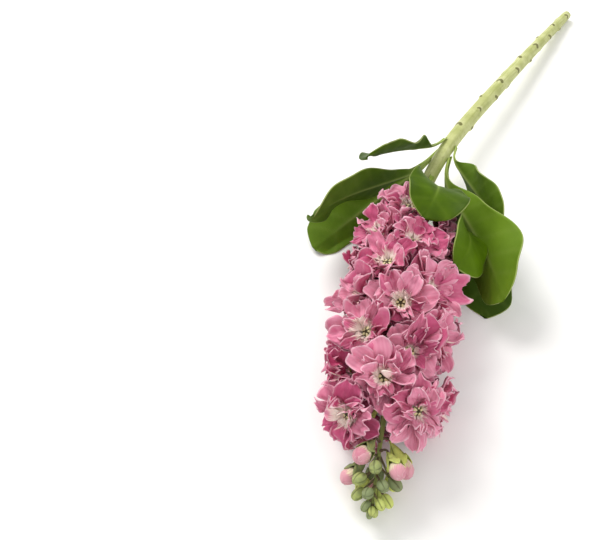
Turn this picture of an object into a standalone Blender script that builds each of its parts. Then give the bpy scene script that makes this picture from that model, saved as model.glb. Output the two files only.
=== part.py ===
"""A cut stem of double-flowered stock (Matthiola incana), lying on a flat surface.

Metres, +Z up, with the surface at Z = 0. The stem runs along +X, from its cut end to the buds at its
tip: a long bare length with leaf scars, a tuft of leaves, a spike of double florets, and the buds.
"""

import math
import random

import bmesh
import bpy
from mathutils import Matrix, Vector

MM = 0.001

# Stem
STEM_LENGTH = 540 * MM
STEM_SIDES_RESOLUTION = 3
STEM_RINGS = 33
STEM_RADIUS = [(0, 3.7 * MM), (50 * MM, 4.2 * MM), (110 * MM, 4.8 * MM), (170 * MM, 5.1 * MM),
               (240 * MM, 5.2 * MM), (290 * MM, 4.6 * MM), (330 * MM, 3.8 * MM), (460 * MM, 2.4 * MM),
               (540 * MM, 0.9 * MM)]
CUT_HEADING = math.radians(-10.5)
BEND_ANGLE = math.radians(22)
BEND_FROM = 190 * MM
BEND_TO = 400 * MM
CUT_HEIGHT = 3.8 * MM
CREST = 400 * MM
CREST_HEIGHT = 26 * MM
TIP_DROOP = 13 * MM
REST_CENTRE = Vector((267.3 * MM, -40.7 * MM, 0.0))

# Leaf scars
SCAR_COUNT = 26
FIRST_SCAR = 9 * MM
LAST_SCAR = 234 * MM
SCAR_FOOT_RADIUS = 2.1 * MM
SCAR_TOP_RADIUS = 1.0 * MM
SCAR_DEPTH = 2.5 * MM
SCAR_RISE = 1.2 * MM
SCAR_START_TURN = 0.9

# Florets
FLORET_COUNT = 25
FIRST_FLORET = 350 * MM
LAST_FLORET = 496 * MM
GOLDEN_ANGLE = math.radians(137.508)
START_TURN = math.radians(100)
TURN_AWAY_FROM_SURFACE = 0.3
EYE_REACH = 23 * MM
LEAST_EYE_HEIGHT = 10 * MM
FLORET_SIZE = [(0, 1.06), (0.35, 1.14), (0.75, 1.08), (1, 0.94)]
FLORET_LEAN = [(0, math.radians(2)), (0.6, math.radians(16)), (1, math.radians(34))]
FLORET_JITTER = 0.16

# Petals: whorls from the outermost in, each with how many, how long, how wide, how steep and how twisted,
# how many cells wide its petals are, where their rows lie, and the ring of the heart that they grow from
WHORLS = [
    dict(count=5, length=18.0 * MM, width=15.5 * MM, rise=math.radians(3), twist=math.radians(16),
         cup=0.05, cells=2, rows=(0.62, 1), ring_radius=2.4 * MM, ring_height=-1.6 * MM),
    dict(count=4, length=14.5 * MM, width=13.5 * MM, rise=math.radians(38), twist=math.radians(10),
         cup=0.0, cells=1, rows=(0.62, 1), ring_radius=2.0 * MM, ring_height=-0.5 * MM),
    dict(count=3, length=10.0 * MM, width=8.0 * MM, rise=math.radians(64), twist=math.radians(16),
         cup=0.0, cells=1, rows=(0.85,), ring_radius=1.6 * MM, ring_height=0.6 * MM),
]
PETAL_THICKNESS = 0.6 * MM
PETAL_LAYERS = ("across", "side", "row")
RING_THICKNESS = 1.2 * MM
CLAW_SHARE = 0.09
WIDEST_AT = 0.66
TIP_NARROWING = 0.62
TIP_ROUNDING = 2.4
TIP_FALLBACK = 0.16
BEND_OUT = 0.2
BEND_LIFT = 0.08
CUP_CURVE = 1.6
TWIST_FADE = 0.4
PETAL_SWING = 0.05
HEART_SIDES = 6
HEART_RADIUS = 0.9 * MM
NECK_RADIUS = 1.6 * MM
NECK_DEPTH = 4.4 * MM
NECK_FOOT_RADIUS = 0.5 * MM
BUTTON_HEIGHT = 3.0 * MM

# Room that each floret has between its neighbours
WALL_CLEARANCE = 0.5 * MM
SOFT_SHARE = 0.72
RAISE_WHEN_CROWDED = 0.35
BACK_REACH = 5.5 * MM
SPIKE_FOOT = 326 * MM

# Calyx and flower stalk
CALYX_LENGTH = 8.0 * MM
CALYX_FOOT_RADIUS = 1.3 * MM
CALYX_RIM_RADIUS = 2.3 * MM
SEPAL_RISE = 2.4 * MM
SEPAL_SPREAD = 0.5 * MM
SEAT_GAP = 0.35 * MM
STALK_RADIUS = 0.85 * MM
STALK_SET_BACK = 11 * MM
STALK_BEND_AT = 0.55
STALK_BOW = 1.2 * MM
STALK_SINK = 1.5 * MM

# Buds that show pink petals
PINK_BUD_COUNT = 5
FIRST_PINK_BUD = 500 * MM
LAST_PINK_BUD = 510 * MM
FIRST_BUD_TURN = math.radians(349)
PINK_BUD_RADIUS = 5.0 * MM
PINK_BUD_REACH = 12 * MM
PINK_BUD_LEAN = math.radians(56)
PINK_CALYX_WIDTH = 1.5
PINK_BUD_SIDES = 8
LEAST_BUD_HEIGHT = 7 * MM
PINK_BUD_PROFILE = [(0, 1.9), (0.62, 1.6), (1, 0.85), (0.8, 0.1), (0.42, -0.5)]
PINK_BUD_SHRINK = 0.15

# Closed green buds
GREEN_BUD_COUNT = 16
FIRST_GREEN_BUD = 509 * MM
LAST_GREEN_BUD = 538 * MM
GREEN_BUD_RADIUS = [(0, 3.6 * MM), (0.6, 3.0 * MM), (1, 1.9 * MM)]
GREEN_BUD_STALK = [(0, 11.5 * MM), (0.5, 7.5 * MM), (1, 1.0 * MM)]
GREEN_BUD_SPLAY = [(0, math.radians(46)), (0.6, math.radians(44)), (1, math.radians(14))]
GREEN_BUD_SLENDER = 1.3
GREEN_STALK_RADIUS = 0.64 * MM

# Leaves: where each leaves the stem, the way it points round the stem (0 is +Y, 90 is up), and its shape,
# with lengths in mm and angles in degrees
LEAF_THICKNESS = 0.8 * MM
LEAF_COLUMNS = 4
LEAF_ROWS = 9
MIDRIB_STEPS = 4 * LEAF_ROWS
LEAF_GAP = 0.3 * MM
LEAF_FOOT_LEAN = 10
LEAN_BY = 0.3
CURL_FROM = 0.5
FOOT_WIDTH_SHARE = 0.09
BLADE_FROM = 0.1
LEAF_WIDEST_FROM = 0.68
LEAF_TIP_FROM = 0.72
LEAF_TIP_NARROWING = 0.9
LEAF_TIP_ROUNDING = 2.2
ARCH = 0.30
ARCH_CURVE = 1.5
ARCH_FADE = 0.6
WAVES = 2.3
WAVE_SLANT = 1.3
LEAVES = [
    dict(along=256, turn=-28, length=138, width=42, lean=42, curl=-12, wave=1.6, twist=46),
    dict(along=252, turn=208, length=122, width=37, lean=27, curl=-8, wave=1.4, twist=-36),
    dict(along=262, turn=-2, length=138, width=44, lean=41, curl=-12, wave=3.0, twist=36),
    dict(along=270, turn=164, length=114, width=38, lean=30, curl=-14, wave=2.4, twist=8),
    dict(along=291, turn=64, length=86, width=38, lean=44, curl=-78, wave=1.6, twist=-14),
    dict(along=246, turn=8, length=98, width=32, lean=42, curl=2, wave=2.2, twist=8),
    dict(along=297, turn=20, length=100, width=36, lean=44, curl=-66, wave=1.6, twist=-22),
    dict(along=246, turn=124, length=96, width=34, lean=28, curl=-4, wave=2.0, twist=-6),
]

SEED = 7
CURVE_STEPS = 216
SMOOTH_ANGLE = math.radians(50)


def smooth(share):
    share = min(max(share, 0.0), 1.0)
    return share * share * (3 - 2 * share)


def along_table(table, at):
    """The value at a place on a table of (place, value) stations, in straight runs."""
    for (place, value), (next_place, next_value) in zip(table, table[1:]):
        if at <= next_place:
            share = max(at - place, 0.0) / (next_place - place)
            return value + (next_value - value) * share
    return table[-1][1]


def stem_height(along):
    """The stem rises from where its cut end rests to the crest of the spike, and droops to the tip."""
    if along < CREST:
        return CREST_HEIGHT - (CREST_HEIGHT - CUT_HEIGHT) * (1 - along / CREST) ** 2
    return CREST_HEIGHT - TIP_DROOP * ((along - CREST) / (STEM_LENGTH - CREST)) ** 2


def stem_heading(along):
    return CUT_HEADING + BEND_ANGLE * smooth((along - BEND_FROM) / (BEND_TO - BEND_FROM))


def walk_stem():
    """Points along the stem's middle line, a fixed step apart."""
    step = STEM_LENGTH / CURVE_STEPS
    place = Vector((0, 0, 0))
    line = []
    for index in range(CURVE_STEPS + 1):
        line.append(Vector((place.x, place.y, stem_height(index * step))) - REST_CENTRE)
        heading = stem_heading((index + 0.5) * step)
        place += Vector((math.cos(heading), math.sin(heading), 0)) * step
    return line


STEM_LINE = walk_stem()


def stem_at(along):
    """The stem's middle point there, with its direction, its side direction and its upward direction."""
    at = min(max(along / STEM_LENGTH, 0.0), 1.0) * CURVE_STEPS
    index = min(int(at), CURVE_STEPS - 1)
    here, after = STEM_LINE[index], STEM_LINE[index + 1]
    tangent = (after - here).normalized()
    side = Vector((0, 0, 1)).cross(tangent).normalized()
    return here.lerp(after, at - index), tangent, side, tangent.cross(side)


def outward(along, turn):
    """The direction away from the stem at an angle round it, where 0 is the +Y side and 90 degrees is up."""
    _, _, side, up = stem_at(along)
    return side * math.cos(turn) + up * math.sin(turn)


def turn_from_surface(turn):
    """The florets on the side that a spike lies on are pushed round towards its flanks."""
    from_down = math.remainder(turn + math.pi / 2, 2 * math.pi)
    return from_down + TURN_AWAY_FROM_SURFACE * math.sin(from_down) - math.pi / 2


def facing_matrix(origin, facing, roll):
    """A frame at origin whose Z looks along facing, turned by roll."""
    matrix = facing.to_track_quat("Z", "Y").to_matrix().to_4x4()
    return Matrix.Translation(origin) @ matrix @ Matrix.Rotation(roll, 4, "Z")


# Objects and materials

def clear_scene():
    for thing in list(bpy.data.objects):
        bpy.data.objects.remove(thing)


def make_material(name, colour, roughness):
    material = bpy.data.materials.new(name)
    material.use_nodes = True
    shader = material.node_tree.nodes["Principled BSDF"]
    shader.inputs["Base Color"].default_value = (*colour, 1)
    shader.inputs["Roughness"].default_value = roughness
    shader.inputs["Metallic"].default_value = 0
    return material


def new_collection(name, hidden=False):
    collection = bpy.data.collections.new(name)
    bpy.context.scene.collection.children.link(collection)
    collection.hide_render = hidden
    return collection


def object_from(shape, name, collection, matrix=Matrix.Identity(4)):
    """Turns a bmesh into an object in a collection."""
    mesh = bpy.data.meshes.new(name)
    shape.to_mesh(mesh)
    shape.free()
    thing = bpy.data.objects.new(name, mesh)
    thing.matrix_world = matrix
    collection.objects.link(thing)
    return thing


def applied_mesh(thing):
    """The object's mesh with its modifiers applied."""
    bpy.context.view_layer.update()
    graph = bpy.context.evaluated_depsgraph_get()
    return bpy.data.meshes.new_from_object(thing.evaluated_get(graph))


def tube(name, points, radii, resolution, collection):
    """A closed tube through points, as a mesh, from a curve with a bevel."""
    curve = bpy.data.curves.new(name, "CURVE")
    curve.dimensions = "3D"
    curve.bevel_depth = 1.0
    curve.bevel_resolution = resolution
    curve.use_fill_caps = True
    spline = curve.splines.new("POLY")
    spline.points.add(len(points) - 1)
    for knot, point, radius in zip(spline.points, points, radii):
        knot.co = (*point, 1)
        knot.radius = radius
    guide = bpy.data.objects.new(name, curve)
    collection.objects.link(guide)
    shape = bmesh.new()
    shape.from_mesh(applied_mesh(guide))
    bmesh.ops.remove_doubles(shape, verts=shape.verts, dist=0.001 * MM)
    bmesh.ops.recalc_face_normals(shape, faces=shape.faces)
    bpy.data.objects.remove(guide)
    return object_from(shape, name, collection)


def turned(name, profile, sides, matrix, collection):
    """A closed turned shape, from a profile that runs down its outer side from axis to axis."""
    outline = bmesh.new()
    verts = [outline.verts.new((radius, 0, height)) for radius, height in profile]
    for start, end in zip(verts, verts[1:]):
        outline.edges.new((start, end))
    thing = object_from(outline, name, collection)
    lathe = thing.modifiers.new("lathe", "SCREW")
    lathe.steps = lathe.render_steps = sides
    lathe.use_merge_vertices = True
    lathe.merge_threshold = 0.01 * MM
    thing.data = applied_mesh(thing)
    thing.modifiers.clear()
    thing.data.transform(matrix)
    return thing


def finish(thing, material):
    thing.data.materials.clear()
    thing.data.materials.append(material)
    thing.data.shade_smooth()
    thing.data.set_sharp_from_angle(angle=SMOOTH_ANGLE)


def join_by_union(body, pieces):
    """Joins every object of a collection to body in one Boolean union, then removes them."""
    union = body.modifiers.new("join", "BOOLEAN")
    union.operation = "UNION"
    union.operand_type = "COLLECTION"
    union.collection = pieces
    body.data = applied_mesh(body)
    body.modifiers.clear()
    for piece in list(pieces.objects):
        bpy.data.objects.remove(piece)


def thicken(thing, thickness):
    shell = thing.modifiers.new("thickness", "SOLIDIFY")
    shell.thickness = thickness
    shell.offset = 0


# Where everything grows

def place_flower(along, turn, reach, lean, roll):
    """A flower's eye, the way it faces and its roll, for a stalk that leaves the stem behind it."""
    centre, tangent, _, _ = stem_at(along)
    away = outward(along, turn)
    facing = (away * math.cos(lean) + tangent * math.sin(lean)).normalized()
    return dict(along=along, turn=turn, eye=centre + away * reach, facing=facing, roll=roll)


def reach_above_surface(along, turn, reach, least_height):
    """How far out from the stem a flower can be: less where the surface is just below it."""
    down = -outward(along, turn).z
    if down <= 0:
        return reach
    return min(reach, (stem_at(along)[0].z - least_height) / down)


def place_florets():
    draw = random.Random(SEED)
    florets = []
    for index in range(FLORET_COUNT):
        share = index / (FLORET_COUNT - 1)
        along = FIRST_FLORET + (LAST_FLORET - FIRST_FLORET) * share
        turn = turn_from_surface(START_TURN + index * GOLDEN_ANGLE) + draw.uniform(-1, 1) * FLORET_JITTER
        lean = along_table(FLORET_LEAN, share) + draw.uniform(-1, 1) * FLORET_JITTER
        reach = reach_above_surface(along, turn, EYE_REACH, LEAST_EYE_HEIGHT)
        floret = place_flower(along, turn, reach, lean, draw.uniform(0, math.tau))
        floret["size"] = along_table(FLORET_SIZE, share) * draw.uniform(0.96, 1.04)
        floret["calyx_width"] = 1
        florets.append(floret)
    return florets


def place_pink_buds():
    buds = []
    for index in range(PINK_BUD_COUNT):
        share = index / (PINK_BUD_COUNT - 1)
        along = FIRST_PINK_BUD + (LAST_PINK_BUD - FIRST_PINK_BUD) * share + STALK_SET_BACK
        turn = FIRST_BUD_TURN + index * GOLDEN_ANGLE
        reach = reach_above_surface(along, turn, PINK_BUD_REACH, LEAST_BUD_HEIGHT)
        bud = place_flower(along, turn, reach, PINK_BUD_LEAN, index)
        bud["size"] = 1 - PINK_BUD_SHRINK * share
        bud["calyx_width"] = PINK_CALYX_WIDTH
        buds.append(bud)
    return buds


def place_green_buds():
    buds = []
    for index in range(GREEN_BUD_COUNT):
        share = index / (GREEN_BUD_COUNT - 1)
        along = FIRST_GREEN_BUD + (LAST_GREEN_BUD - FIRST_GREEN_BUD) * share
        turn = FIRST_BUD_TURN + (PINK_BUD_COUNT + index) * GOLDEN_ANGLE
        splay = along_table(GREEN_BUD_SPLAY, share)
        root, tangent, _, _ = stem_at(along)
        aim = outward(along, turn) * math.sin(splay) + tangent * math.cos(splay)
        radius = along_table(GREEN_BUD_RADIUS, share)
        stalk = along_table(GREEN_BUD_STALK, share)
        centre = root + aim * (stalk + radius * GREEN_BUD_SLENDER)
        buds.append(dict(root=root, aim=aim, centre=centre, radius=radius))
    return buds


def walls_round(floret, florets, buds):
    """The planes that part a floret from its neighbours, the surface, the stem and the leaves.

    Each is a normal that points out of the floret's room, with its distance from the floret's eye.
    """
    eye = floret["eye"]
    petal = WHORLS[0]["length"]
    own = floret["size"] * petal
    others = [(other["eye"], other["size"] * petal) for other in florets if other is not floret]
    others += [(bud["centre"], bud["radius"] * GREEN_BUD_SLENDER) for bud in buds]
    walls = []
    for centre, reach in others:
        apart = centre - eye
        walls.append((apart.normalized(), apart.length * own / (own + reach)))
    walls.append((Vector((0, 0, -1)), eye.z + WALL_CLEARANCE - PETAL_THICKNESS / 2))
    walls.append((-floret["facing"], BACK_REACH))
    foot, tangent, _, _ = stem_at(SPIKE_FOOT)
    walls.append((-tangent, (eye - foot).dot(tangent)))
    return [(normal, distance - WALL_CLEARANCE) for normal, distance in walls]


def confine(point, floret, walls):
    """Bends a petal's point up and in so that it stays inside its floret's room."""
    reach = point - floret["eye"]
    press = max(reach.dot(normal) / distance for normal, distance in walls)
    if press <= SOFT_SHARE:
        return point
    reach += floret["facing"] * RAISE_WHEN_CROWDED * (press - SOFT_SHARE) * reach.length
    press = max(reach.dot(normal) / distance for normal, distance in walls)
    if press <= SOFT_SHARE:
        return floret["eye"] + reach
    room = 1 - SOFT_SHARE
    return floret["eye"] + reach * ((1 - room * math.exp((SOFT_SHARE - press) / room)) / press)


# Petals and florets

def petal_point(whorl, size, turn, across, along):
    """A point of a petal in its floret's frame: across from -1 to 1, along from 0, its claw, to 1."""
    length = whorl["length"] * size
    root_out, root_up = whorl["ring_radius"], whorl["ring_height"]
    tip_out, tip_up = length * math.cos(whorl["rise"]), length * math.sin(whorl["rise"])
    bend_out = root_out + BEND_OUT * length
    bend_up = root_up + bend_out * math.tan(whorl["rise"]) + BEND_LIFT * length
    start, middle, end = (1 - along) ** 2, 2 * along * (1 - along), along * along
    out = start * root_out + middle * bend_out + end * tip_out
    up = start * root_up + middle * bend_up + end * tip_up
    rounding = max(along - WIDEST_AT, 0.0) / (1 - WIDEST_AT)
    width = 0.5 * whorl["width"] * size * (CLAW_SHARE + (1 - CLAW_SHARE) * smooth(along / WIDEST_AT))
    width *= math.sqrt(1 - TIP_NARROWING * rounding ** TIP_ROUNDING)
    sideways = across * width
    out -= TIP_FALLBACK * length * across * across * along ** 3
    up += whorl["cup"] * abs(across) ** CUP_CURVE * width * 2
    up += sideways * math.tan(whorl["twist"]) * (1 - TWIST_FADE * along)
    place = Vector((out, sideways, up))
    place.rotate(Matrix.Rotation(turn, 3, "Z"))
    return place


def petal_skin(place_at, across, along, side):
    """A point on a petal's upper (side 1) or lower (side -1) face."""
    ahead = place_at(0, along) - place_at(0, 0)
    sideways = place_at(1, along) - place_at(-1, along)
    return place_at(across, along) + ahead.cross(sideways).normalized() * side * PETAL_THICKNESS / 2


def bearing_of(point):
    return math.atan2(point.y, point.x)


def ring_of_claws(whorl):
    """The flat ring that a whorl grows from, with each petal's bearing and the faces that it grows from.

    A petal has one face at the ring's edge for each of its cells, and a bare face parts it from the next.
    """
    ring = bmesh.new()
    across, side, _ = (ring.verts.layers.float.new(name) for name in PETAL_LAYERS)
    cells = whorl["cells"]
    bmesh.ops.create_cone(ring, cap_ends=True, segments=(cells + 1) * whorl["count"],
                          radius1=whorl["ring_radius"], radius2=whorl["ring_radius"], depth=RING_THICKNESS)
    edge = [face for face in ring.faces if len(face.verts) == 4]
    edge.sort(key=lambda face: bearing_of(face.calc_center_median()))
    claws = []
    for first in range(0, len(edge), cells + 1):
        faces = edge[first:first + cells]
        turn = bearing_of(sum((face.calc_center_median() for face in faces), Vector()))
        for vert in {vert for face in faces for vert in face.verts}:
            off = math.remainder(bearing_of(vert.co) - turn, math.tau)
            vert[across] = round(off * len(edge) / math.pi) / cells
            vert[side] = math.copysign(1, vert.co.z)
        claws.append((turn, faces))
    return ring, claws


def grow_petal(ring, faces, rows, place_at):
    """Draws faces at the ring's edge out into a petal, row by row."""
    across, side, row = (ring.verts.layers.float[name] for name in PETAL_LAYERS)
    for along in rows:
        drawn = bmesh.ops.extrude_face_region(ring, geom=faces)["geom"]
        bmesh.ops.delete(ring, geom=faces, context="FACES")
        faces = [piece for piece in drawn if isinstance(piece, bmesh.types.BMFace)]
        for vert in {vert for face in faces for vert in face.verts}:
            vert.co = petal_skin(place_at, vert[across], along, vert[side])
            vert[row] = along


def split_alike(ring):
    """Splits each cell along the same diagonal on both faces of a petal, so that the faces never cross."""
    across, side, row = (ring.verts.layers.float[name] for name in PETAL_LAYERS)
    for face in [face for face in ring.faces if len(face.verts) == 4]:
        corners = sorted(face.verts, key=lambda vert: (vert[row], vert[across], vert[side]))
        bmesh.utils.face_split(face, corners[0], corners[-1])


def build_whorl(order, whorl, floret, walls, draw, collection):
    """One whorl of petals on its ring, each petal bent to stay inside its floret's room."""
    ring, claws = ring_of_claws(whorl)
    stand = facing_matrix(floret["eye"], floret["facing"], floret["roll"] + math.pi * order / whorl["count"])
    raised = stand @ Matrix.Translation((0, 0, whorl["ring_height"]))
    bmesh.ops.transform(ring, verts=ring.verts, matrix=raised)
    for turn, faces in claws:
        swing = turn + draw.uniform(-PETAL_SWING, PETAL_SWING)

        def place_at(across, along):
            return confine(stand @ petal_point(whorl, floret["size"], swing, across, along), floret, walls)

        grow_petal(ring, faces, whorl["rows"], place_at)
    split_alike(ring)
    object_from(ring, f"whorl_{order}", collection)


def build_floret(number, floret, walls, collection, pieces, material):
    """A double floret: a heart that seats in the calyx, and the whorls of petals round it."""
    profile = [(0, BUTTON_HEIGHT), (HEART_RADIUS, 0.6 * BUTTON_HEIGHT),
               (NECK_RADIUS, WHORLS[0]["ring_height"]), (NECK_FOOT_RADIUS, -NECK_DEPTH), (0, -NECK_DEPTH)]
    matrix = facing_matrix(floret["eye"], floret["facing"], floret["roll"])
    bloom = turned(f"floret_{number:02d}", profile, HEART_SIDES, matrix, collection)
    draw = random.Random(SEED + number)
    for order, whorl in enumerate(WHORLS):
        build_whorl(order, whorl, floret, walls, draw, pieces)
    join_by_union(bloom, pieces)
    finish(bloom, material)


# Green parts

def calyx(matrix, size, width, pieces):
    """A calyx cup whose rim runs up into four sepal points."""
    cup = bmesh.new()
    bmesh.ops.create_cone(cup, cap_ends=True, cap_tris=True, segments=8, radius1=CALYX_FOOT_RADIUS * size,
                          radius2=CALYX_RIM_RADIUS * size * width, depth=CALYX_LENGTH * size)
    bmesh.ops.translate(cup, verts=cup.verts, vec=(0, 0, -CALYX_LENGTH * size / 2))
    rim = [vert for vert in cup.verts if vert.co.z > -MM * 0.1 and vert.co.xy.length > MM]
    rim.sort(key=lambda vert: math.atan2(vert.co.y, vert.co.x))
    for vert in rim[::2]:
        vert.co.z += SEPAL_RISE * size
        vert.co.xy *= 1 + SEPAL_SPREAD / CALYX_RIM_RADIUS
    object_from(cup, "calyx", pieces, matrix)


def stalk_to(flower, foot, radius, pieces):
    """A flower stalk that leaves the stem behind the flower and curves out to the foot of its calyx."""
    along = flower["along"] - STALK_SET_BACK
    root, tangent, _, _ = stem_at(along)
    away = outward(along, flower["turn"])
    start = root + away * stem_radius(along) * 0.3
    bend = start.lerp(foot, STALK_BEND_AT) + (away - tangent) * STALK_BOW
    end = foot + flower["facing"] * STALK_SINK
    tube("stalk", [start, bend, end], [radius, radius * 0.9, radius * 1.1], 0, pieces)


def stem_radius(along):
    return along_table(STEM_RADIUS, along)


def green_bud(bud, pieces):
    """A closed bud on its stalk."""
    shape = bmesh.new()
    bmesh.ops.create_uvsphere(shape, u_segments=6, v_segments=4, radius=bud["radius"])
    bmesh.ops.scale(shape, verts=shape.verts, vec=(1, 1, GREEN_BUD_SLENDER))
    object_from(shape, "bud", pieces, facing_matrix(bud["centre"], bud["aim"], 0.3))
    tube("stalk", [bud["root"], bud["centre"]], [GREEN_STALK_RADIUS, GREEN_STALK_RADIUS], 0, pieces)


def leaf_scar(along, turn, pieces):
    """The low shoulder that a stripped leaf leaves on the stem."""
    shape = bmesh.new()
    bmesh.ops.create_cone(shape, cap_ends=True, segments=4, radius1=SCAR_FOOT_RADIUS,
                          radius2=SCAR_TOP_RADIUS, depth=SCAR_DEPTH)
    centre, _, _, _ = stem_at(along)
    away = outward(along, turn)
    middle = centre + away * (stem_radius(along) + SCAR_RISE - SCAR_DEPTH / 2)
    object_from(shape, "scar", pieces, facing_matrix(middle, away, along * 100))


def build_stem(florets, pink_buds, green_buds, collection, pieces, material):
    """The stem with its leaf scars, and every stalk, calyx and green bud that grows from it."""
    steps = [STEM_LENGTH * index / (STEM_RINGS - 1) for index in range(STEM_RINGS)]
    stem = tube("stem", [stem_at(step)[0] for step in steps], [stem_radius(step) for step in steps],
                STEM_SIDES_RESOLUTION, collection)
    for index in range(SCAR_COUNT):
        share = index / (SCAR_COUNT - 1)
        turn = SCAR_START_TURN + index * GOLDEN_ANGLE
        leaf_scar(FIRST_SCAR + (LAST_SCAR - FIRST_SCAR) * share, turn, pieces)
    for flower in florets + pink_buds:
        size = flower["size"]
        seat = flower["eye"] - flower["facing"] * (NECK_DEPTH + SEAT_GAP)
        stand = facing_matrix(seat, flower["facing"], flower["roll"])
        calyx(stand, size, flower["calyx_width"], pieces)
        stalk_to(flower, seat - flower["facing"] * CALYX_LENGTH * size, STALK_RADIUS, pieces)
    for bud in green_buds:
        green_bud(bud, pieces)
    join_by_union(stem, pieces)
    finish(stem, material)


def build_pink_bud(number, bud, collection, material):
    """The furled petals of a bud that is about to open, on a neck that seats in its calyx."""
    ball = PINK_BUD_RADIUS * bud["size"]
    profile = [(radius * ball, height * ball) for radius, height in PINK_BUD_PROFILE]
    profile += [(NECK_FOOT_RADIUS, -NECK_DEPTH), (0, -NECK_DEPTH)]
    matrix = facing_matrix(bud["eye"], bud["facing"], bud["roll"])
    finish(turned(f"pink_bud_{number:02d}", profile, PINK_BUD_SIDES, matrix, collection), material)


# Leaves

def leaf_half_width(leaf, share):
    """A spoon-shaped outline: a narrow stalk-like foot, widest near three quarters, and a blunt tip."""
    width = smooth((share - BLADE_FROM) / (LEAF_WIDEST_FROM - BLADE_FROM))
    width = FOOT_WIDTH_SHARE + (1 - FOOT_WIDTH_SHARE) * width
    rounding = max(share - LEAF_TIP_FROM, 0.0) / (1 - LEAF_TIP_FROM)
    width *= math.sqrt(1 - LEAF_TIP_NARROWING * rounding ** LEAF_TIP_ROUNDING)
    return 0.5 * leaf["width"] * MM * width


def leaf_midrib(leaf):
    """Points and directions along a leaf's middle, from its foot on the stem to its tip."""
    along, turn = leaf["along"] * MM, math.radians(leaf["turn"])
    centre, tangent, _, _ = stem_at(along)
    away = outward(along, turn)
    step = leaf["length"] * MM / MIDRIB_STEPS
    place = centre + away * (stem_radius(along) + LEAF_GAP + LEAF_THICKNESS / 2)
    midrib = []
    for index in range(MIDRIB_STEPS + 1):
        share = index / MIDRIB_STEPS
        degrees = LEAF_FOOT_LEAN + (leaf["lean"] - LEAF_FOOT_LEAN) * smooth(share / LEAN_BY)
        degrees += leaf["curl"] * smooth((share - CURL_FROM) / (1 - CURL_FROM))
        angle = math.radians(degrees)
        ahead = tangent * math.cos(angle) + away * math.sin(angle)
        midrib.append((place.copy(), ahead))
        place += ahead * step
    return midrib, tangent.cross(away)


def build_leaf(number, leaf, collection, material):
    """A leaf blade, arched across at its foot, waved at its margins, and flat where it meets the surface."""
    midrib, across_way = leaf_midrib(leaf)
    sheet = bmesh.new()
    bmesh.ops.create_grid(sheet, x_segments=LEAF_COLUMNS, y_segments=LEAF_ROWS, size=1)
    bmesh.ops.triangulate(sheet, faces=sheet.faces, quad_method="FIXED")
    for vert in sheet.verts:
        across, share = vert.co.x, 0.5 + 0.5 * vert.co.y
        place, ahead = midrib[round(share * MIDRIB_STEPS)]
        half = leaf_half_width(leaf, share)
        twist = math.radians(leaf["twist"]) * share
        under = across_way.cross(ahead)
        sideways = across_way * math.cos(twist) + under * math.sin(twist)
        arch = ARCH * (1 - ARCH_FADE * share) * abs(across) ** ARCH_CURVE * half
        wave = leaf["wave"] * MM * math.sin(WAVES * math.tau * share + number + WAVE_SLANT * across)
        place = place + sideways * across * half + under * (arch + wave * across ** 2 * smooth(share))
        place.z = max(place.z, LEAF_THICKNESS / 2)
        vert.co = place
    blade = object_from(sheet, f"leaf_{number:02d}", collection)
    thicken(blade, LEAF_THICKNESS)
    finish(blade, material)


def main():
    clear_scene()
    petal_pink = make_material("petal_pink", (0.66, 0.20, 0.33), 0.55)
    stem_green = make_material("stem_green", (0.55, 0.62, 0.28), 0.5)
    leaf_green = make_material("leaf_green", (0.09, 0.22, 0.035), 0.42)
    flower_stem = new_collection("stock_flower_stem")
    pieces = new_collection("pieces_to_join", hidden=True)

    florets, pink_buds, green_buds = place_florets(), place_pink_buds(), place_green_buds()
    bud_rooms = green_buds + [dict(centre=bud["eye"], radius=PINK_BUD_RADIUS) for bud in pink_buds]
    build_stem(florets, pink_buds, green_buds, flower_stem, pieces, stem_green)
    for number, floret in enumerate(florets, 1):
        walls = walls_round(floret, florets, bud_rooms)
        build_floret(number, floret, walls, flower_stem, pieces, petal_pink)
    for number, bud in enumerate(pink_buds, 1):
        build_pink_bud(number, bud, flower_stem, petal_pink)
    for number, leaf in enumerate(LEAVES, 1):
        build_leaf(number, leaf, flower_stem, leaf_green)
    bpy.data.collections.remove(pieces)


main()
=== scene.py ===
# %% [markdown]
# # A cut stem of double stock
#
# Stock is a cottage-garden flower with a straight pale stem, a tuft of spoon-shaped leaves and a dense
# spike of ruffled double florets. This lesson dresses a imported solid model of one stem: the solids stay
# as they are for collision, and each gets finer pieces over it, grown by the same rules.

import math
import random

import bpy
import numpy as np
from mathutils import Matrix, Vector


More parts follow.
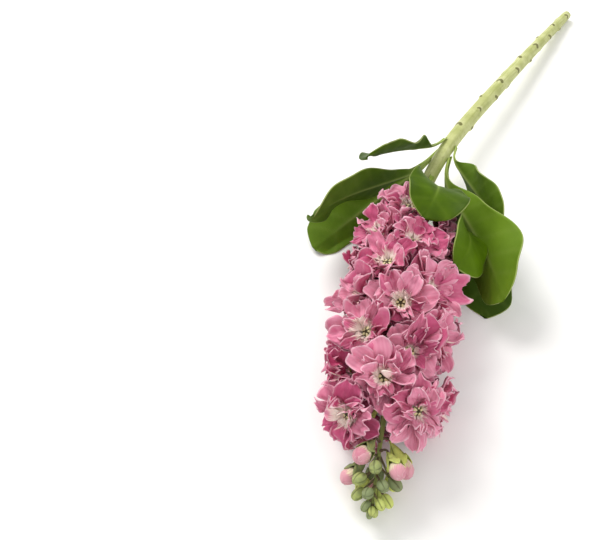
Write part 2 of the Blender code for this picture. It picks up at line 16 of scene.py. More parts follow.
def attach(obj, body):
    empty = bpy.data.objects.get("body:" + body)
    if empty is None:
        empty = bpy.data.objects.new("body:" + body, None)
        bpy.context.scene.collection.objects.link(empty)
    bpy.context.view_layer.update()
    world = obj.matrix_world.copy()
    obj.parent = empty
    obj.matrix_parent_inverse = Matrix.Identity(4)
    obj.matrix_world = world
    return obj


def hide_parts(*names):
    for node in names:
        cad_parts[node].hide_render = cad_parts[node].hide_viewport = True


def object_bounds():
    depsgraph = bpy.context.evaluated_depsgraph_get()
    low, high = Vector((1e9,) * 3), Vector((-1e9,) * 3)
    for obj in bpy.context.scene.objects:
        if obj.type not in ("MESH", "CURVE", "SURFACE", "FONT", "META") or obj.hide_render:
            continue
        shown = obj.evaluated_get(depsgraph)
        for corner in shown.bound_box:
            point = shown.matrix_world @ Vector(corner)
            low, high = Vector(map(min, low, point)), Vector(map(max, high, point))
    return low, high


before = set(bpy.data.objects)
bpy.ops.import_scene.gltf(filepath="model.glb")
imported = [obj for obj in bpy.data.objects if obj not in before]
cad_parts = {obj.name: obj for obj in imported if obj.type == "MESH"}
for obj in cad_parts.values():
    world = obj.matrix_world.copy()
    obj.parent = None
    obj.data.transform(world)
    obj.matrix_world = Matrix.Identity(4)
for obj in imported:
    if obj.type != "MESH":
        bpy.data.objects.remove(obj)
solid_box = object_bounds()
solid_size = solid_box[1] - solid_box[0]
print("solids:", len(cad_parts), "box", [round(1000 * side) for side in solid_size], "mm")

# %% [markdown]
# ## Camera and light
#
# The stem lies on a plain pale surface and is seen from the flower end, looking down at 45 degrees. A cut
# flower in daylight by a window has one broad soft light and pale shadows. A large area lamp at the back
# left does that, a weaker one fills in from the front, and a bright plain sky keeps the shadows open.

# %% Camera
MM = 0.001
CAMERA_PLACE = (0.50788756, 0.09217551, 0.43)
CAMERA_AIM = (-0.65903445, -0.25626860, -0.70710678)
camera = bpy.data.objects.new("camera", bpy.data.cameras.new("camera"))
camera.data.lens = 56.64
camera.location = CAMERA_PLACE
camera.rotation_euler = Vector(CAMERA_AIM).to_track_quat("-Z", "Y").to_euler()
bpy.context.scene.collection.objects.link(camera)
bpy.context.scene.camera = camera
print("camera", [round(value, 3) for value in camera.location], "lens", camera.data.lens, "mm")

# %% Lamps
WINDOW = dict(place=(-0.55, -1.10, 1.35), size=1.0, power=28, colour=(1.0, 0.985, 0.955))
FILL = dict(place=(0.9, 1.0, 1.1), size=1.6, power=9, colour=(1.0, 0.985, 0.965))


def soft_lamp(name, place, size, power, colour):
    """A square area lamp that looks at the middle of the stem."""
    lamp = bpy.data.lights.new(name, "AREA")
    lamp.size, lamp.energy, lamp.color = size, power, colour
    thing = bpy.data.objects.new(name, lamp)
    thing.location = place
    thing.rotation_euler = (-Vector(place)).to_track_quat("-Z", "Y").to_euler()
    bpy.context.scene.collection.objects.link(thing)
    return thing


lamps = [soft_lamp("window", **WINDOW), soft_lamp("fill", **FILL)]
print("lamps", [lamp.name for lamp in lamps])

# %% Sky
SKY_COLOUR, SKY_STRENGTH = (1.0, 0.99, 0.975, 1), 0.72
world = bpy.data.worlds.new("studio")
world.use_nodes = True
sky = world.node_tree.nodes["Background"].inputs
sky["Color"].default_value, sky["Strength"].default_value = SKY_COLOUR, SKY_STRENGTH
bpy.context.scene.world = world
bpy.context.scene.view_settings.view_transform = "Standard"
print("sky strength", SKY_STRENGTH)

# %% [markdown]
# ## Finishes as sums
#
# A procedural finish is arithmetic on patterns. Wiring each Math node by hand hides that, so one small
# class wraps a node's output and lets Python's own operators add the nodes. Plain numbers stay Python.


# %% A class for values that vary over a surface
class Tone:
    """A value in a finish: one output of a node, on which Python's operators work."""

    def __init__(self, tree, socket=None):
        self.tree, self.socket = tree, socket

    def node(self, kind, settings=None, inputs=None, output=0):
        """Adds a node, sets it up, then gives its sockets their values or links."""
        made = self.tree.nodes.new(kind)
        for name, value in (settings or {}).items():
            setattr(made, name, value)
        for name, value in (inputs or {}).items():
            if isinstance(value, Tone):
                self.tree.links.new(value.socket, made.inputs[name])
            else:
                made.inputs[name].default_value = value
        return Tone(self.tree, made.outputs[output] if made.outputs else None)

    def maths(self, operation, first, second):
        return self.node("ShaderNodeMath", dict(operation=operation), {0: first, 1: second})

    def __add__(self, other):
        return self.maths("ADD", self, other)

    def __radd__(self, other):
        return self.maths("ADD", other, self)

    def __sub__(self, other):
        return self.maths("SUBTRACT", self, other)

    def __rsub__(self, other):
        return self.maths("SUBTRACT", other, self)

    def __mul__(self, other):
        return self.maths("MULTIPLY", self, other)

    def __rmul__(self, other):
        return self.maths("MULTIPLY", other, self)

    def rise(self, low, high):
        """0 at low, 1 at high, and a smooth slope between them."""
        return self.node("ShaderNodeMapRange", dict(interpolation_type="SMOOTHSTEP"),
                         {"Value": self, "From Min": low, "From Max": high})

    def blend(self, colour, other):
        """The first colour where this value is 0, and the other where it is 1."""
        return self.node("ShaderNodeMix", dict(data_type="RGBA"), {0: self, 6: colour, 7: other}, 2)


print("a tone can be added, subtracted and multiplied, and blends two colours")


# %% Colours and new finishes
def paint(red, green, blue):
    """A colour as read off a screen, 0 to 255, in the linear values that shaders use."""
    return (*[((part / 255 + 0.055) / 1.055) ** 2.4 for part in (red, green, blue)], 1)


def new_finish(name):
    """An empty material, and the tone that starts its sums."""
    material = bpy.data.materials.new(name)
    material.use_nodes = True
    material.node_tree.nodes.clear()
    return material, Tone(material.node_tree)


print("middle grey on a screen is", round(paint(128, 128, 128)[0], 3), "to a shader")


# %% Patterns and relief
def kept(start, *names):
    """Numbers kept on the points of the mesh, such as how far along a petal they are."""
    return [start.node("ShaderNodeAttribute", dict(attribute_name=name), output="Fac") for name in names]


def cloudy(start, scale, detail=3.0):
    """Soft noise from 0 to 1, with about scale features in a metre."""
    where = start.node("ShaderNodeTexCoord", output="Object")
    return start.node("ShaderNodeTexNoise", None, {"Vector": where, "Scale": scale, "Detail": detail})


def relief(start, height, strength, depth):
    """A bump from a height that goes from 0 to 1, with depth in metres."""
    return start.node("ShaderNodeBump", None, {"Strength": strength, "Distance": depth, "Height": height})


print("patterns: numbers on points, clouds, relief")


# %% The end of a finish
def show(start, surface):
    """The surface as it is, for thick tissue."""
    start.node("ShaderNodeOutputMaterial", None, {"Surface": surface})


def lit_through(start, surface, glow, share):
    """Thin living tissue: some of the light that falls on one side comes out of the other, as a glow."""
    through = start.node("ShaderNodeBsdfTranslucent", None, {"Color": glow})
    show(start, start.node("ShaderNodeMixShader", None, {0: share, 1: surface, 2: through}))


print("finish helpers ready")

# %% [markdown]
# ## How the stem grows
#
# The stem's middle line rises a little from the cut, bends to one side, and droops at the tip. It is
# walked in small steps with the same numbers as the solids, so every finer piece lands on its solid.


# %% Small shaping helpers
def smooth(share):
    """0 up to 0, 1 from 1 on, and a smooth slope between them."""
    share = np.clip(share, 0.0, 1.0)
    return share * share * (3 - 2 * share)


def along_table(table, at):
    """The value at a place on a table of (place, value) stations, in straight runs."""
    return float(np.interp(at, [place for place, _ in table], [value for _, value in table]))


print("a quarter of the way, the smooth slope is at", float(smooth(0.25)))

# %% The stem's measures
STEM_LENGTH = 540 * MM
STEM_RADIUS = [(0, 3.7 * MM), (50 * MM, 4.2 * MM), (110 * MM, 4.8 * MM), (170 * MM, 5.1 * MM),
               (240 * MM, 5.2 * MM), (290 * MM, 4.6 * MM), (330 * MM, 3.8 * MM), (460 * MM, 2.4 * MM),
               (540 * MM, 0.9 * MM)]
CREST, CREST_HEIGHT, CUT_HEIGHT, TIP_DROOP = 400 * MM, 26 * MM, 3.8 * MM, 13 * MM
FIRST_HEADING, HEADING_CHANGE = -10.5, 22
BEND_FROM, BEND_LENGTH = 190 * MM, 210 * MM
REST_CENTRE = Vector((267.3 * MM, -40.7 * MM, 0.0))
CURVE_STEPS = 216
GOLDEN_ANGLE = math.radians(137.508)
print("stem", round(STEM_LENGTH / MM), "mm long and", round(2 * STEM_RADIUS[0][1] / MM, 1), "mm thick")


# %% The stem's middle line
def stem_height(along):
    """Height of the middle line: a rise to the crest, then a droop to the tip."""
    if along < CREST:
        return CREST_HEIGHT - (CREST_HEIGHT - CUT_HEIGHT) * (1 - along / CREST) ** 2
    return CREST_HEIGHT - TIP_DROOP * ((along - CREST) / (STEM_LENGTH - CREST)) ** 2


def walk_stem():
    """Points on the middle line, from the cut to the tip."""
    step = STEM_LENGTH / CURVE_STEPS
    place, line = Vector((0, 0, 0)), []
    for index in range(CURVE_STEPS + 1):
        line.append(Vector((place.x, place.y, stem_height(index * step))) - REST_CENTRE)
        share = float(smooth(((index + 0.5) * step - BEND_FROM) / BEND_LENGTH))
        heading = math.radians(FIRST_HEADING + HEADING_CHANGE * share)
        place += Vector((math.cos(heading), math.sin(heading), 0)) * step
    return line


STEM_LINE = walk_stem()
print("stem from", [round(1000 * value) for value in STEM_LINE[0]],
      "to", [round(1000 * value) for value in STEM_LINE[-1]], "mm")


# %% Places and directions on the stem
def stem_at(along):
    """The stem's middle point there, with its direction, its side direction and its upward one."""
    at = min(max(along / STEM_LENGTH, 0.0), 1.0) * CURVE_STEPS
    index = min(int(at), CURVE_STEPS - 1)
    here, after = STEM_LINE[index], STEM_LINE[index + 1]
    tangent = (after - here).normalized()
    side = Vector((0, 0, 1)).cross(tangent).normalized()
    return here.lerp(after, at - index), tangent, side, tangent.cross(side)


def outward(along, turn):
    """The direction away from the stem, at a turn round it."""
    _, _, side, up = stem_at(along)
    return side * math.cos(turn) + up * math.sin(turn)


def stem_radius(along):
    """The stem's own taper, without ribs and scars."""
    return along_table(STEM_RADIUS, along)


def facing_matrix(origin, facing, roll):
    """A frame at origin whose Z looks along facing, turned by roll."""
    matrix = facing.to_track_quat("Z", "Y").to_matrix().to_4x4()
    return Matrix.Translation(origin) @ matrix @ Matrix.Rotation(roll, 4, "Z")


print("halfway, the stem is at", [round(1000 * value) for value in stem_at(STEM_LENGTH / 2)[0]], "mm")

# %% [markdown]
# ## Where the flowers sit
#
# Each new floret leaves the stem a golden angle round from the last, 137.5 degrees, which packs them
# evenly. The lower ones are open widest; towards the tip they lean forward and turn into buds.

# %% Counts and measures of the spike
FLORET_COUNT, PINK_BUD_COUNT, GREEN_BUD_COUNT = 25, 5, 16
START_TURN, FIRST_BUD_TURN = math.radians(100), math.radians(349)
FLORETS_FROM, FLORETS_OVER, FLORET_REACH, FLORET_CLEAR = 350, 146, 23 * MM, 10 * MM
FLORET_SIZE = [(0, 1.06), (0.35, 1.14), (0.75, 1.08), (1, 0.94)]
FLORET_LEAN = [(0, math.radians(2)), (0.6, math.radians(16)), (1, math.radians(34))]
FLORET_JITTER, TURN_FROM_SURFACE = 0.16, 0.3
PINK_BUDS_FROM, PINK_BUDS_OVER, PINK_BUDS_AHEAD = 500, 10, 11
PINK_BUD_RADIUS, PINK_BUD_LEAN = 5.0 * MM, math.radians(56)
PINK_BUD_REACH, PINK_BUD_CLEAR, PINK_BUD_SHRINK = 12 * MM, 7 * MM, 0.15
GREEN_BUDS_FROM, GREEN_BUDS_OVER = 509, 29
GREEN_BUD_SPLAY = [(0, 46), (0.6, 44), (1, 14)]
GREEN_BUD_RADIUS = [(0, 3.6), (0.6, 3.0), (1, 1.9)]
GREEN_BUD_STALK = [(0, 11.5), (0.5, 7.5), (1, 1.0)]
BUD_STRETCH = 1.3
print("flowers and buds", FLORET_COUNT + PINK_BUD_COUNT + GREEN_BUD_COUNT)


# %% One flower's place
def place_flower(along, turn, reach, lean, roll):
    """A flower's eye, the way it faces and its roll, for a stalk that leaves the stem behind it."""
    centre, tangent, _, _ = stem_at(along)
    away = outward(along, turn)
    facing = (away * math.cos(lean) + tangent * math.sin(lean)).normalized()
    return dict(along=along, turn=turn, eye=centre + away * reach, facing=facing, roll=roll)


def reach_above_surface(along, turn, reach, least_height):
    """The reach, shortened where the flower would come too near to the surface."""
    down = -outward(along, turn).z
    return reach if down <= 0 else min(reach, (stem_at(along)[0].z - least_height) / down)


print("a floret stands", round(FLORET_REACH / MM), "mm from the stem's middle")


# %% Florets by the golden angle
def place_florets():
    """Open florets, each turned a golden angle from the last and a little away from the surface."""
    draw, florets = random.Random(7), []
    for index in range(FLORET_COUNT):
        share = index / (FLORET_COUNT - 1)
        along = (FLORETS_FROM + FLORETS_OVER * share) * MM
        from_down = math.remainder(START_TURN + index * GOLDEN_ANGLE + math.pi / 2, 2 * math.pi)
        turn = from_down + TURN_FROM_SURFACE * math.sin(from_down) - math.pi / 2
        turn += draw.uniform(-1, 1) * FLORET_JITTER
        lean = along_table(FLORET_LEAN, share) + draw.uniform(-1, 1) * FLORET_JITTER
        reach = reach_above_surface(along, turn, FLORET_REACH, FLORET_CLEAR)
        floret = place_flower(along, turn, reach, lean, draw.uniform(0, math.tau))
        floret.update(size=along_table(FLORET_SIZE, share) * draw.uniform(0.96, 1.04), share=share)
        florets.append(floret)
    return florets


florets = place_florets()
print("florets", len(florets))


# %% Buds that show pink, and green buds
def place_pink_buds():
    """Buds that already show furled petals, which carry the spiral on."""
    buds = []
    for index in range(PINK_BUD_COUNT):
        share = index / (PINK_BUD_COUNT - 1)
        along = (PINK_BUDS_FROM + PINK_BUDS_OVER * share + PINK_BUDS_AHEAD) * MM
        turn = FIRST_BUD_TURN + index * GOLDEN_ANGLE
        reach = reach_above_surface(along, turn, PINK_BUD_REACH, PINK_BUD_CLEAR)
        bud = place_flower(along, turn, reach, PINK_BUD_LEAN, index)
        bud.update(size=1 - PINK_BUD_SHRINK * share, share=share)
        buds.append(bud)
    return buds


def place_green_buds():
    """Closed buds on straight stalks, smaller and closer to the stem's own direction at the tip."""
    buds = []
    for index in range(GREEN_BUD_COUNT):
        share = index / (GREEN_BUD_COUNT - 1)
        along = (GREEN_BUDS_FROM + GREEN_BUDS_OVER * share) * MM
        turn = FIRST_BUD_TURN + (PINK_BUD_COUNT + index) * GOLDEN_ANGLE
        splay = math.radians(along_table(GREEN_BUD_SPLAY, share))
        root, tangent, _, _ = stem_at(along)
        aim = outward(along, turn) * math.sin(splay) + tangent * math.cos(splay)
        radius = along_table(GREEN_BUD_RADIUS, share) * MM
        stalk = along_table(GREEN_BUD_STALK, share) * MM
        buds.append(dict(root=root, aim=aim, centre=root + aim * (stalk + radius * BUD_STRETCH),
                         radius=radius, share=share))
    return buds


pink_buds, green_buds = place_pink_buds(), place_green_buds()
print("pink buds", len(pink_buds), "green buds", len(green_buds))

# %% [markdown]
# ## Sheets of points
#
# Petals, leaves, sepals and stalks are all bent sheets. Each is computed as a grid of points with NumPy,
# which is exact and quick, and turned into faces by one function. Numbers kept on the points, such as
# how far along a petal they are, let the finish know where it is without any picture.


# %% One mesh from many grids
def mesh_from_sheets(name, sheets):
    """A mesh from sheets, each a grid of points with named numbers.

    A closed sheet joins its last column to its first, and a row named in caps, 0 or -1, gets a lid.
    """
    points, faces, lids, numbers, first = [], [], [], {}, 0
    for sheet in sheets:
        grid = sheet["points"]
        rows, columns = grid.shape[:2]
        index = np.arange(rows * columns).reshape(rows, columns) + first
        if sheet.get("closed"):
            index = np.concatenate([index, index[:, :1]], axis=1)
        quads = np.stack([index[:-1, :-1], index[:-1, 1:], index[1:, 1:], index[1:, :-1]], axis=-1)
        faces.append(quads.reshape(-1, 4))
        lids += [index[row, :columns][::-1 if row == 0 else 1].tolist() for row in sheet.get("caps", ())]
        points.append(grid.reshape(-1, 3))
        for key, value in sheet["kept"].items():
            numbers.setdefault(key, []).append(np.broadcast_to(value, (rows, columns)).reshape(-1))
        first += rows * columns
    mesh = bpy.data.meshes.new(name)
    mesh.from_pydata(np.concatenate(points).tolist(), [], np.concatenate(faces).tolist() + lids)
    for key, values in numbers.items():
        mesh.attributes.new(key, "FLOAT", "POINT").data.foreach_set(
            "value", np.concatenate(values).astype(np.float32))
    mesh.shade_smooth()
    return mesh


print("sheets become quads, with lids where a tube ends")


# %% A piece that stands for a solid
def add_piece(name, sheets, finishes, node, thickness=0.0, offset=0.0):
    """An object from sheets that stands for a solid, with its finishes and, if asked, a thickness."""
    low, high = (np.array(corner) for corner in solid_box)
    pad = thickness * (0.55 if offset == 0 else 1.0)
    for sheet in sheets:
        sheet["points"] = np.clip(sheet["points"], low + pad, high - pad)
    thing = bpy.data.objects.new(name, mesh_from_sheets(name, sheets))
    bpy.context.scene.collection.objects.link(thing)
    for finish in finishes:
        thing.data.materials.append(finish)
    if thickness:
        shell = thing.modifiers.new("thickness", "SOLIDIFY")
        shell.thickness, shell.offset = thickness, offset
        shell.material_offset = len(finishes) - 1
    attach(thing, "root")
    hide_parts(node)
    return thing


def moved(points, matrix):
    """Points taken into the frame of a matrix."""
    turn = np.array(matrix.to_3x3())
    return points @ turn.T + np.array(matrix.translation)


print("pieces stay inside", [round(1000 * side) for side in solid_size], "mm")

# %% [markdown]
# ## Leaves
#
# Stock leaves are long spoons: a narrow stalk-like foot, widest past the middle, blunt at the tip, thick
# and waxy with a pale midrib. Each is bent along its midrib by the same rule as its solid, then gets what
# the solid leaves out: a groove over the midrib, swelling between the side veins, and a rippled margin.

# %% The leaves' measures
# A leaf's tone, how dark it is painted, is partly its own colour and partly painted shade: the first leaf
# lies in the shadow of the leaves over it and is painted darkest.
LEAVES = [
    dict(along=256, turn=-28, length=138, width=42, lean=42, curl=-12, wave=1.6, twist=46, tone=1.0),
    dict(along=252, turn=208, length=122, width=37, lean=27, curl=-8, wave=1.4, twist=-36, tone=0.5),
    dict(along=262, turn=-2, length=138, width=44, lean=41, curl=-12, wave=3.0, twist=36, tone=0.3),
    dict(along=270, turn=164, length=114, width=38, lean=30, curl=-14, wave=2.4, twist=8, tone=0.6),
    dict(along=291, turn=64, length=86, width=38, lean=44, curl=-78, wave=1.6, twist=-14, tone=0.52),
    dict(along=246, turn=8, length=98, width=32, lean=42, curl=2, wave=2.2, twist=8, tone=0.6),
    dict(along=297, turn=20, length=100, width=36, lean=44, curl=-66, wave=1.6, twist=-22, tone=0.36),
    dict(along=246, turn=124, length=96, width=34, lean=28, curl=-4, wave=2.0, twist=-6, tone=0.7),
]
LEAF_THICKNESS, LEAF_GAP = 0.8 * MM, 0.3 * MM
LEAF_ROWS, LEAF_COLUMNS, MIDRIB_STEPS, FOOT_LEAN = 61, 29, 36, 10
print("leaves", len(LEAVES), "longest", max(leaf["length"] for leaf in LEAVES), "mm")


# %% A leaf's midrib
def leaf_midrib(leaf):
    """Points and directions along a leaf's middle, from its foot on the stem to its tip."""
    along, turn = leaf["along"] * MM, math.radians(leaf["turn"])
    centre, tangent, _, _ = stem_at(along)
    away = outward(along, turn)
    step = leaf["length"] * MM / MIDRIB_STEPS
    place = centre + away * (stem_radius(along) + LEAF_GAP + LEAF_THICKNESS / 2)
    points, aheads = [], []
    for index in range(MIDRIB_STEPS + 1):
        share = index / MIDRIB_STEPS
        degrees = FOOT_LEAN + (leaf["lean"] - FOOT_LEAN) * float(smooth(share / 0.3))
        degrees += leaf["curl"] * float(smooth((share - 0.5) / 0.5))
        ahead = tangent * math.cos(math.radians(degrees)) + away * math.sin(math.radians(degrees))
        points.append(list(place))
        aheads.append(list(ahead))
        place = place + ahead * step
    return np.array(points), np.array(aheads), np.array(tangent.cross(away))


def between(values, share):
    """Rows between the midrib's steps, at shares of its length."""
    at, steps = share[:, 0] * MIDRIB_STEPS, np.arange(MIDRIB_STEPS + 1)
    return np.stack([np.interp(at, steps, values[:, axis]) for axis in range(3)], axis=-1)


print("each midrib has", MIDRIB_STEPS, "steps")

# %% A leaf's outline
FOOT_WIDTH, WIDEST_FROM, WIDEST_OVER = 0.09, 0.1, 0.58
TIP_FROM, TIP_CUT, ROUND_FROM, ROUND_CUT = 0.72, 0.9, 0.9, 0.94


def leaf_half_width(share, leaf):
    """Half the width at each row: a narrow foot, a broad blade and a blunt, round tip."""
    blade = FOOT_WIDTH + (1 - FOOT_WIDTH) * smooth((share - WIDEST_FROM) / WIDEST_OVER)
    blunt = np.sqrt(1 - TIP_CUT * np.clip((share - TIP_FROM) / (1 - TIP_FROM), 0, 1) ** 2.2)
    half = blade * blunt * 0.5 * leaf["width"] * MM
    return half * np.sqrt(1 - ROUND_CUT * np.clip((share - ROUND_FROM) / (1 - ROUND_FROM), 0, 1) ** 2.4)


middle_row = np.array([[0.6]])
print("widest leaf, at 60 percent of its length",
      round(2000 * float(max(leaf_half_width(middle_row, leaf).item() for leaf in LEAVES)), 1), "mm")

# %% A leaf's relief
CUP, GROOVE_DEPTH, GROOVE_WIDTH = 0.30, 0.5 * MM, 1.3 * MM
VEIN_COUNT, VEIN_SLANT, VEIN_LIFT = 9, 0.9, 0.05 * MM
RIPPLE, RIPPLE_TURNS, WAVE_TURNS = 2.2 * MM, 17, 2.3 * math.tau


def side_veins(share, across):
    """A wave with its low lines on the side veins, which run forward from the midrib."""
    return np.cos(math.tau * (share * VEIN_COUNT - VEIN_SLANT * np.abs(across) ** 0.9))


def leaf_lift(share, across, half, leaf, number):
    """How far each point stands above a flat leaf."""
    lift = CUP * (1 - 0.6 * share) * np.abs(across) ** 1.5 * half
    wave = leaf["wave"] * MM * np.sin(WAVE_TURNS * share + number + 1.3 * across)
    lift = lift + wave * across ** 2 * smooth(share)
    distance = np.abs(across) * half
    lift = lift - GROOVE_DEPTH * np.exp(-(distance / GROOVE_WIDTH) ** 2) * (1 - 0.6 * share)
    swelling = VEIN_LIFT * side_veins(share, across) * smooth(distance / (3 * MM))
    lift = lift + swelling * (1 - across ** 4) * smooth(share * 3)
    ripple = across ** 3 * np.sin(RIPPLE_TURNS * share + 2.1 * number + 1.2 * across) * smooth(share * 2)
    return lift + RIPPLE * ripple * (1 - 0.7 * smooth((share - 0.75) / 0.25))


print("side veins on each half of a leaf", VEIN_COUNT)


# %% One leaf blade
def leaf_sheet(leaf, number):
    """A whole blade: its midrib, its outline turned by the leaf's twist, and its relief."""
    points, aheads, across_way = leaf_midrib(leaf)
    share = 1 - np.linspace(1, 0, LEAF_ROWS)[:, None] ** 1.25
    across = np.linspace(-1, 1, LEAF_COLUMNS)[None, :]
    place, ahead = between(points, share), between(aheads, share)
    inward = np.cross(across_way[None], ahead)
    half = leaf_half_width(share, leaf)
    twist = math.radians(leaf["twist"]) * share
    sideways = (across_way[None] * np.cos(twist) + inward * np.sin(twist))[:, None, :]
    lift = leaf_lift(share, across, half, leaf, number)
    blade = place[:, None, :] + sideways * (across * half)[..., None] + inward[:, None, :] * lift[..., None]
    blade[..., 2] = np.maximum(blade[..., 2], LEAF_THICKNESS / 2)
    distance, veins = np.abs(across) * half, side_veins(share, across)
    return dict(points=blade, kept=dict(
        along=share, across=across, midrib=np.exp(-(distance / (1.0 * MM)) ** 2), tone=leaf["tone"],
        vein=smooth((-veins - 0.55) / 0.45) * smooth(distance / (2 * MM))))


leaf_blades = [leaf_sheet(leaf, number) for number, leaf in enumerate(LEAVES, 1)]
print("leaf blades", len(leaf_blades), "of", LEAF_ROWS, "by", LEAF_COLUMNS, "points")

# %% [markdown]
# ## Petal finish
#
# A stock petal is thin and matt, with fine veins that fan out from a cream claw. It is mid pink, with a
# painted highlight along the rim and painted shade deep in the crevices, and glows where light comes
# through.
# Its pattern follows the petal, so it is drawn from the numbers kept on the points. The back of a petal is
# paler, and gets a finish of its own.

# %% Petal colours
# The rim colours on this line and for the buds below are a painted highlight, where petal edges catch the
# light.
FRONT_PINK, FRONT_DEEP, RIM_HIGHLIGHT = paint(242, 162, 188), paint(190, 60, 108), paint(255, 226, 236)
BACK_PINK, BACK_DEEP = paint(238, 160, 186), paint(204, 88, 132)
BUD_PINK, BUD_DEEP, BUD_RIM_HIGHLIGHT, BUD_FOOT = (
    paint(236, 176, 188), paint(214, 128, 152), paint(250, 218, 220), paint(250, 240, 204))
# The dark crevice colour is painted shade, deep down between petals.
CREAM_WITH_BOUNCE, CREVICE_SHADE = paint(255, 238, 228), paint(98, 18, 44)
STAR, SLIT = paint(228, 220, 158), paint(54, 50, 16)
ROSE_GLOW, BUD_GLOW = paint(230, 96, 146), paint(240, 160, 180)
PETAL_THROUGH, BUD_THROUGH = 0.12, 0.2
print("petal front", [round(part, 2) for part in FRONT_PINK[:3]])


# %% Veins of a petal, and where the painted rim highlight goes
def petal_veins(start, along, across):
    """Bands that fan out from the claw, a little bent, each with finer ones in it."""
    where = start.node("ShaderNodeCombineXYZ", None, {0: across, 1: along * 0.25})
    return start.node("ShaderNodeTexWave", dict(wave_profile="SIN"), {
        "Vector": where, "Scale": 1.15, "Distortion": 2.6, "Detail": 3.0, "Detail Scale": 2.5})


def rim_highlight_share(along, across):
    """Where the painted rim highlight goes: 1 along the sides of the blade and at its tip."""
    return (across * across * along.rise(0.2, 0.7) + along.rise(0.84, 1.02)).rise(0.62, 1.15)


print("veins and rim follow the petal")


# %% One petal finish
def petal_finish(name, body, deep, rim, foot, glow, share_through):
    """Body colour in clouds, then veins, a painted rim highlight, painted crevice shade, pale foot and the
    dark star of the heart.
    """
    material, start = new_finish(name)
    along, across, tone, heart, shade, star = kept(
        start, "along", "across", "tone", "heart", "shade", "star")
    clouds, veins, edge = cloudy(start, 260, 2), petal_veins(start, along, across), rim_highlight_share(along, across)
    colour = (clouds * 0.8 + tone * 1.1 - 0.5).rise(0.0, 1.0).blend(body, deep)
    colour = (veins * (1 - edge) * 0.2).blend(colour, deep)
    # A painted highlight along the rim of the petal.
    colour = (edge * clouds.rise(0.15, 0.7) * 0.7).blend(colour, rim)
    # Painted shade deep in the crevices, which also dims the pale foot there.
    colour = (shade * 0.85).blend(colour, CREVICE_SHADE)
    pale = (heart + (veins - 0.5) * 0.3 + (clouds - 0.5) * 0.9).rise(0.25, 0.8)
    colour = (pale * (1 - shade * 0.4)).blend(colour, foot)
    colour = (star.rise(0.05, 0.35) * 0.85).blend(colour, STAR)
    colour = star.rise(0.45, 0.75).blend(colour, SLIT)
    surface = start.node("ShaderNodeBsdfPrincipled", None, {
        "Base Color": colour, "Roughness": 0.5 + clouds * 0.14, "Specular IOR Level": 0.35,
        "Sheen Weight": 0.12, "Sheen Roughness": 0.5,
        "Normal": relief(start, veins * 0.5 + clouds * 0.8, 0.45, 0.0006)})
    lit_through(start, surface, glow, share_through)
    return material


# The pale foot colour is the cream of claw and heart, tinted pink as painted light bounced from the petals
# round it.
petal_front = petal_finish("petal_front", FRONT_PINK, FRONT_DEEP, RIM_HIGHLIGHT, CREAM_WITH_BOUNCE, ROSE_GLOW, PETAL_THROUGH)
petal_back = petal_finish("petal_back", BACK_PINK, BACK_DEEP, RIM_HIGHLIGHT, CREAM_WITH_BOUNCE, ROSE_GLOW, PETAL_THROUGH)
bud_petal = petal_finish("bud_petal", BUD_PINK, BUD_DEEP, BUD_RIM_HIGHLIGHT, BUD_FOOT, BUD_GLOW, BUD_THROUGH)
print("petal finishes", petal_front.name, petal_back.name, bud_petal.name)

# %% [markdown]
# ## Petal shapes
#
# A double floret has no stamens: it is petal inside petal. Each petal stands up on its claw, bends out to
# a broad blade, and rolls back at the rim, where it ruffles. It could be sculpted once and copied, but
# copies show, so every petal is computed with its own draw of length, fold, roll and ruffle.

# %% Whorls, from the outermost in
WHORLS = [
    dict(count=5, length=19.0, width=15.0, rise=-32, bend=0.20, roll=6, wave=1.0, ring=2.3, height=-3.4,
         grid=(13, 9)),
    dict(count=6, length=20.5, width=16.0, rise=-8, bend=0.20, roll=14, wave=1.8, ring=2.3, height=-1.9,
         grid=(19, 15)),
    dict(count=6, length=19.5, width=14.5, rise=10, bend=0.25, roll=22, wave=2.1, ring=2.2, height=-1.3,
         grid=(19, 15)),
    dict(count=6, length=16.0, width=11.2, rise=30, bend=0.30, roll=34, wave=1.9, ring=2.4, height=-0.6,
         grid=(17, 13)),
    dict(count=4, length=11.0, width=7.5, rise=36, bend=0.40, roll=40, wave=1.1, ring=2.6, height=0.4,
         grid=(13, 9)),
    dict(count=5, length=6.2, width=4.6, rise=22, bend=0.30, roll=20, wave=0.3, ring=2.4, height=1.1,
         grid=(9, 7)),
]
print("whorls", len(WHORLS), "petals in a floret", sum(whorl["count"] for whorl in WHORLS))

# %% How much petals differ
LENGTH_DRAWS, WIDTH_DRAW = [0.72, 0.86, 0.96, 1.03, 1.08], (0.78, 1.14)
RISE_DRAW, ROLL_DRAW, TIP_DRAW = (-18, 22), (-0.3, 1.8), (0.35, 0.7)
FOLD_DRAWS, FOLD_DRAW, WAVE_DRAW = [0, 0.2, 0.5, 0.8], (0.6, 1.3), (0.5, 1.3)
NOTCH_DRAW, SKEW_DRAW = (0, 0.2), (-0.16, 0.16)
STRAP_SHARE, STRAP_WIDTH, STRAP_RISE = 0.15, 0.6, 12
PETAL_TWIST, STRAP_TWIST = 22, 44
CLAW_PART, FINE_RUFFLE, CREASE = 0.4, 0.75, 0.45
TIP_ROUND, TIP_RUFFLE = 0.16, 0.03
print("petals are", LENGTH_DRAWS[0], "to", LENGTH_DRAWS[-1], "of their whorl's length")


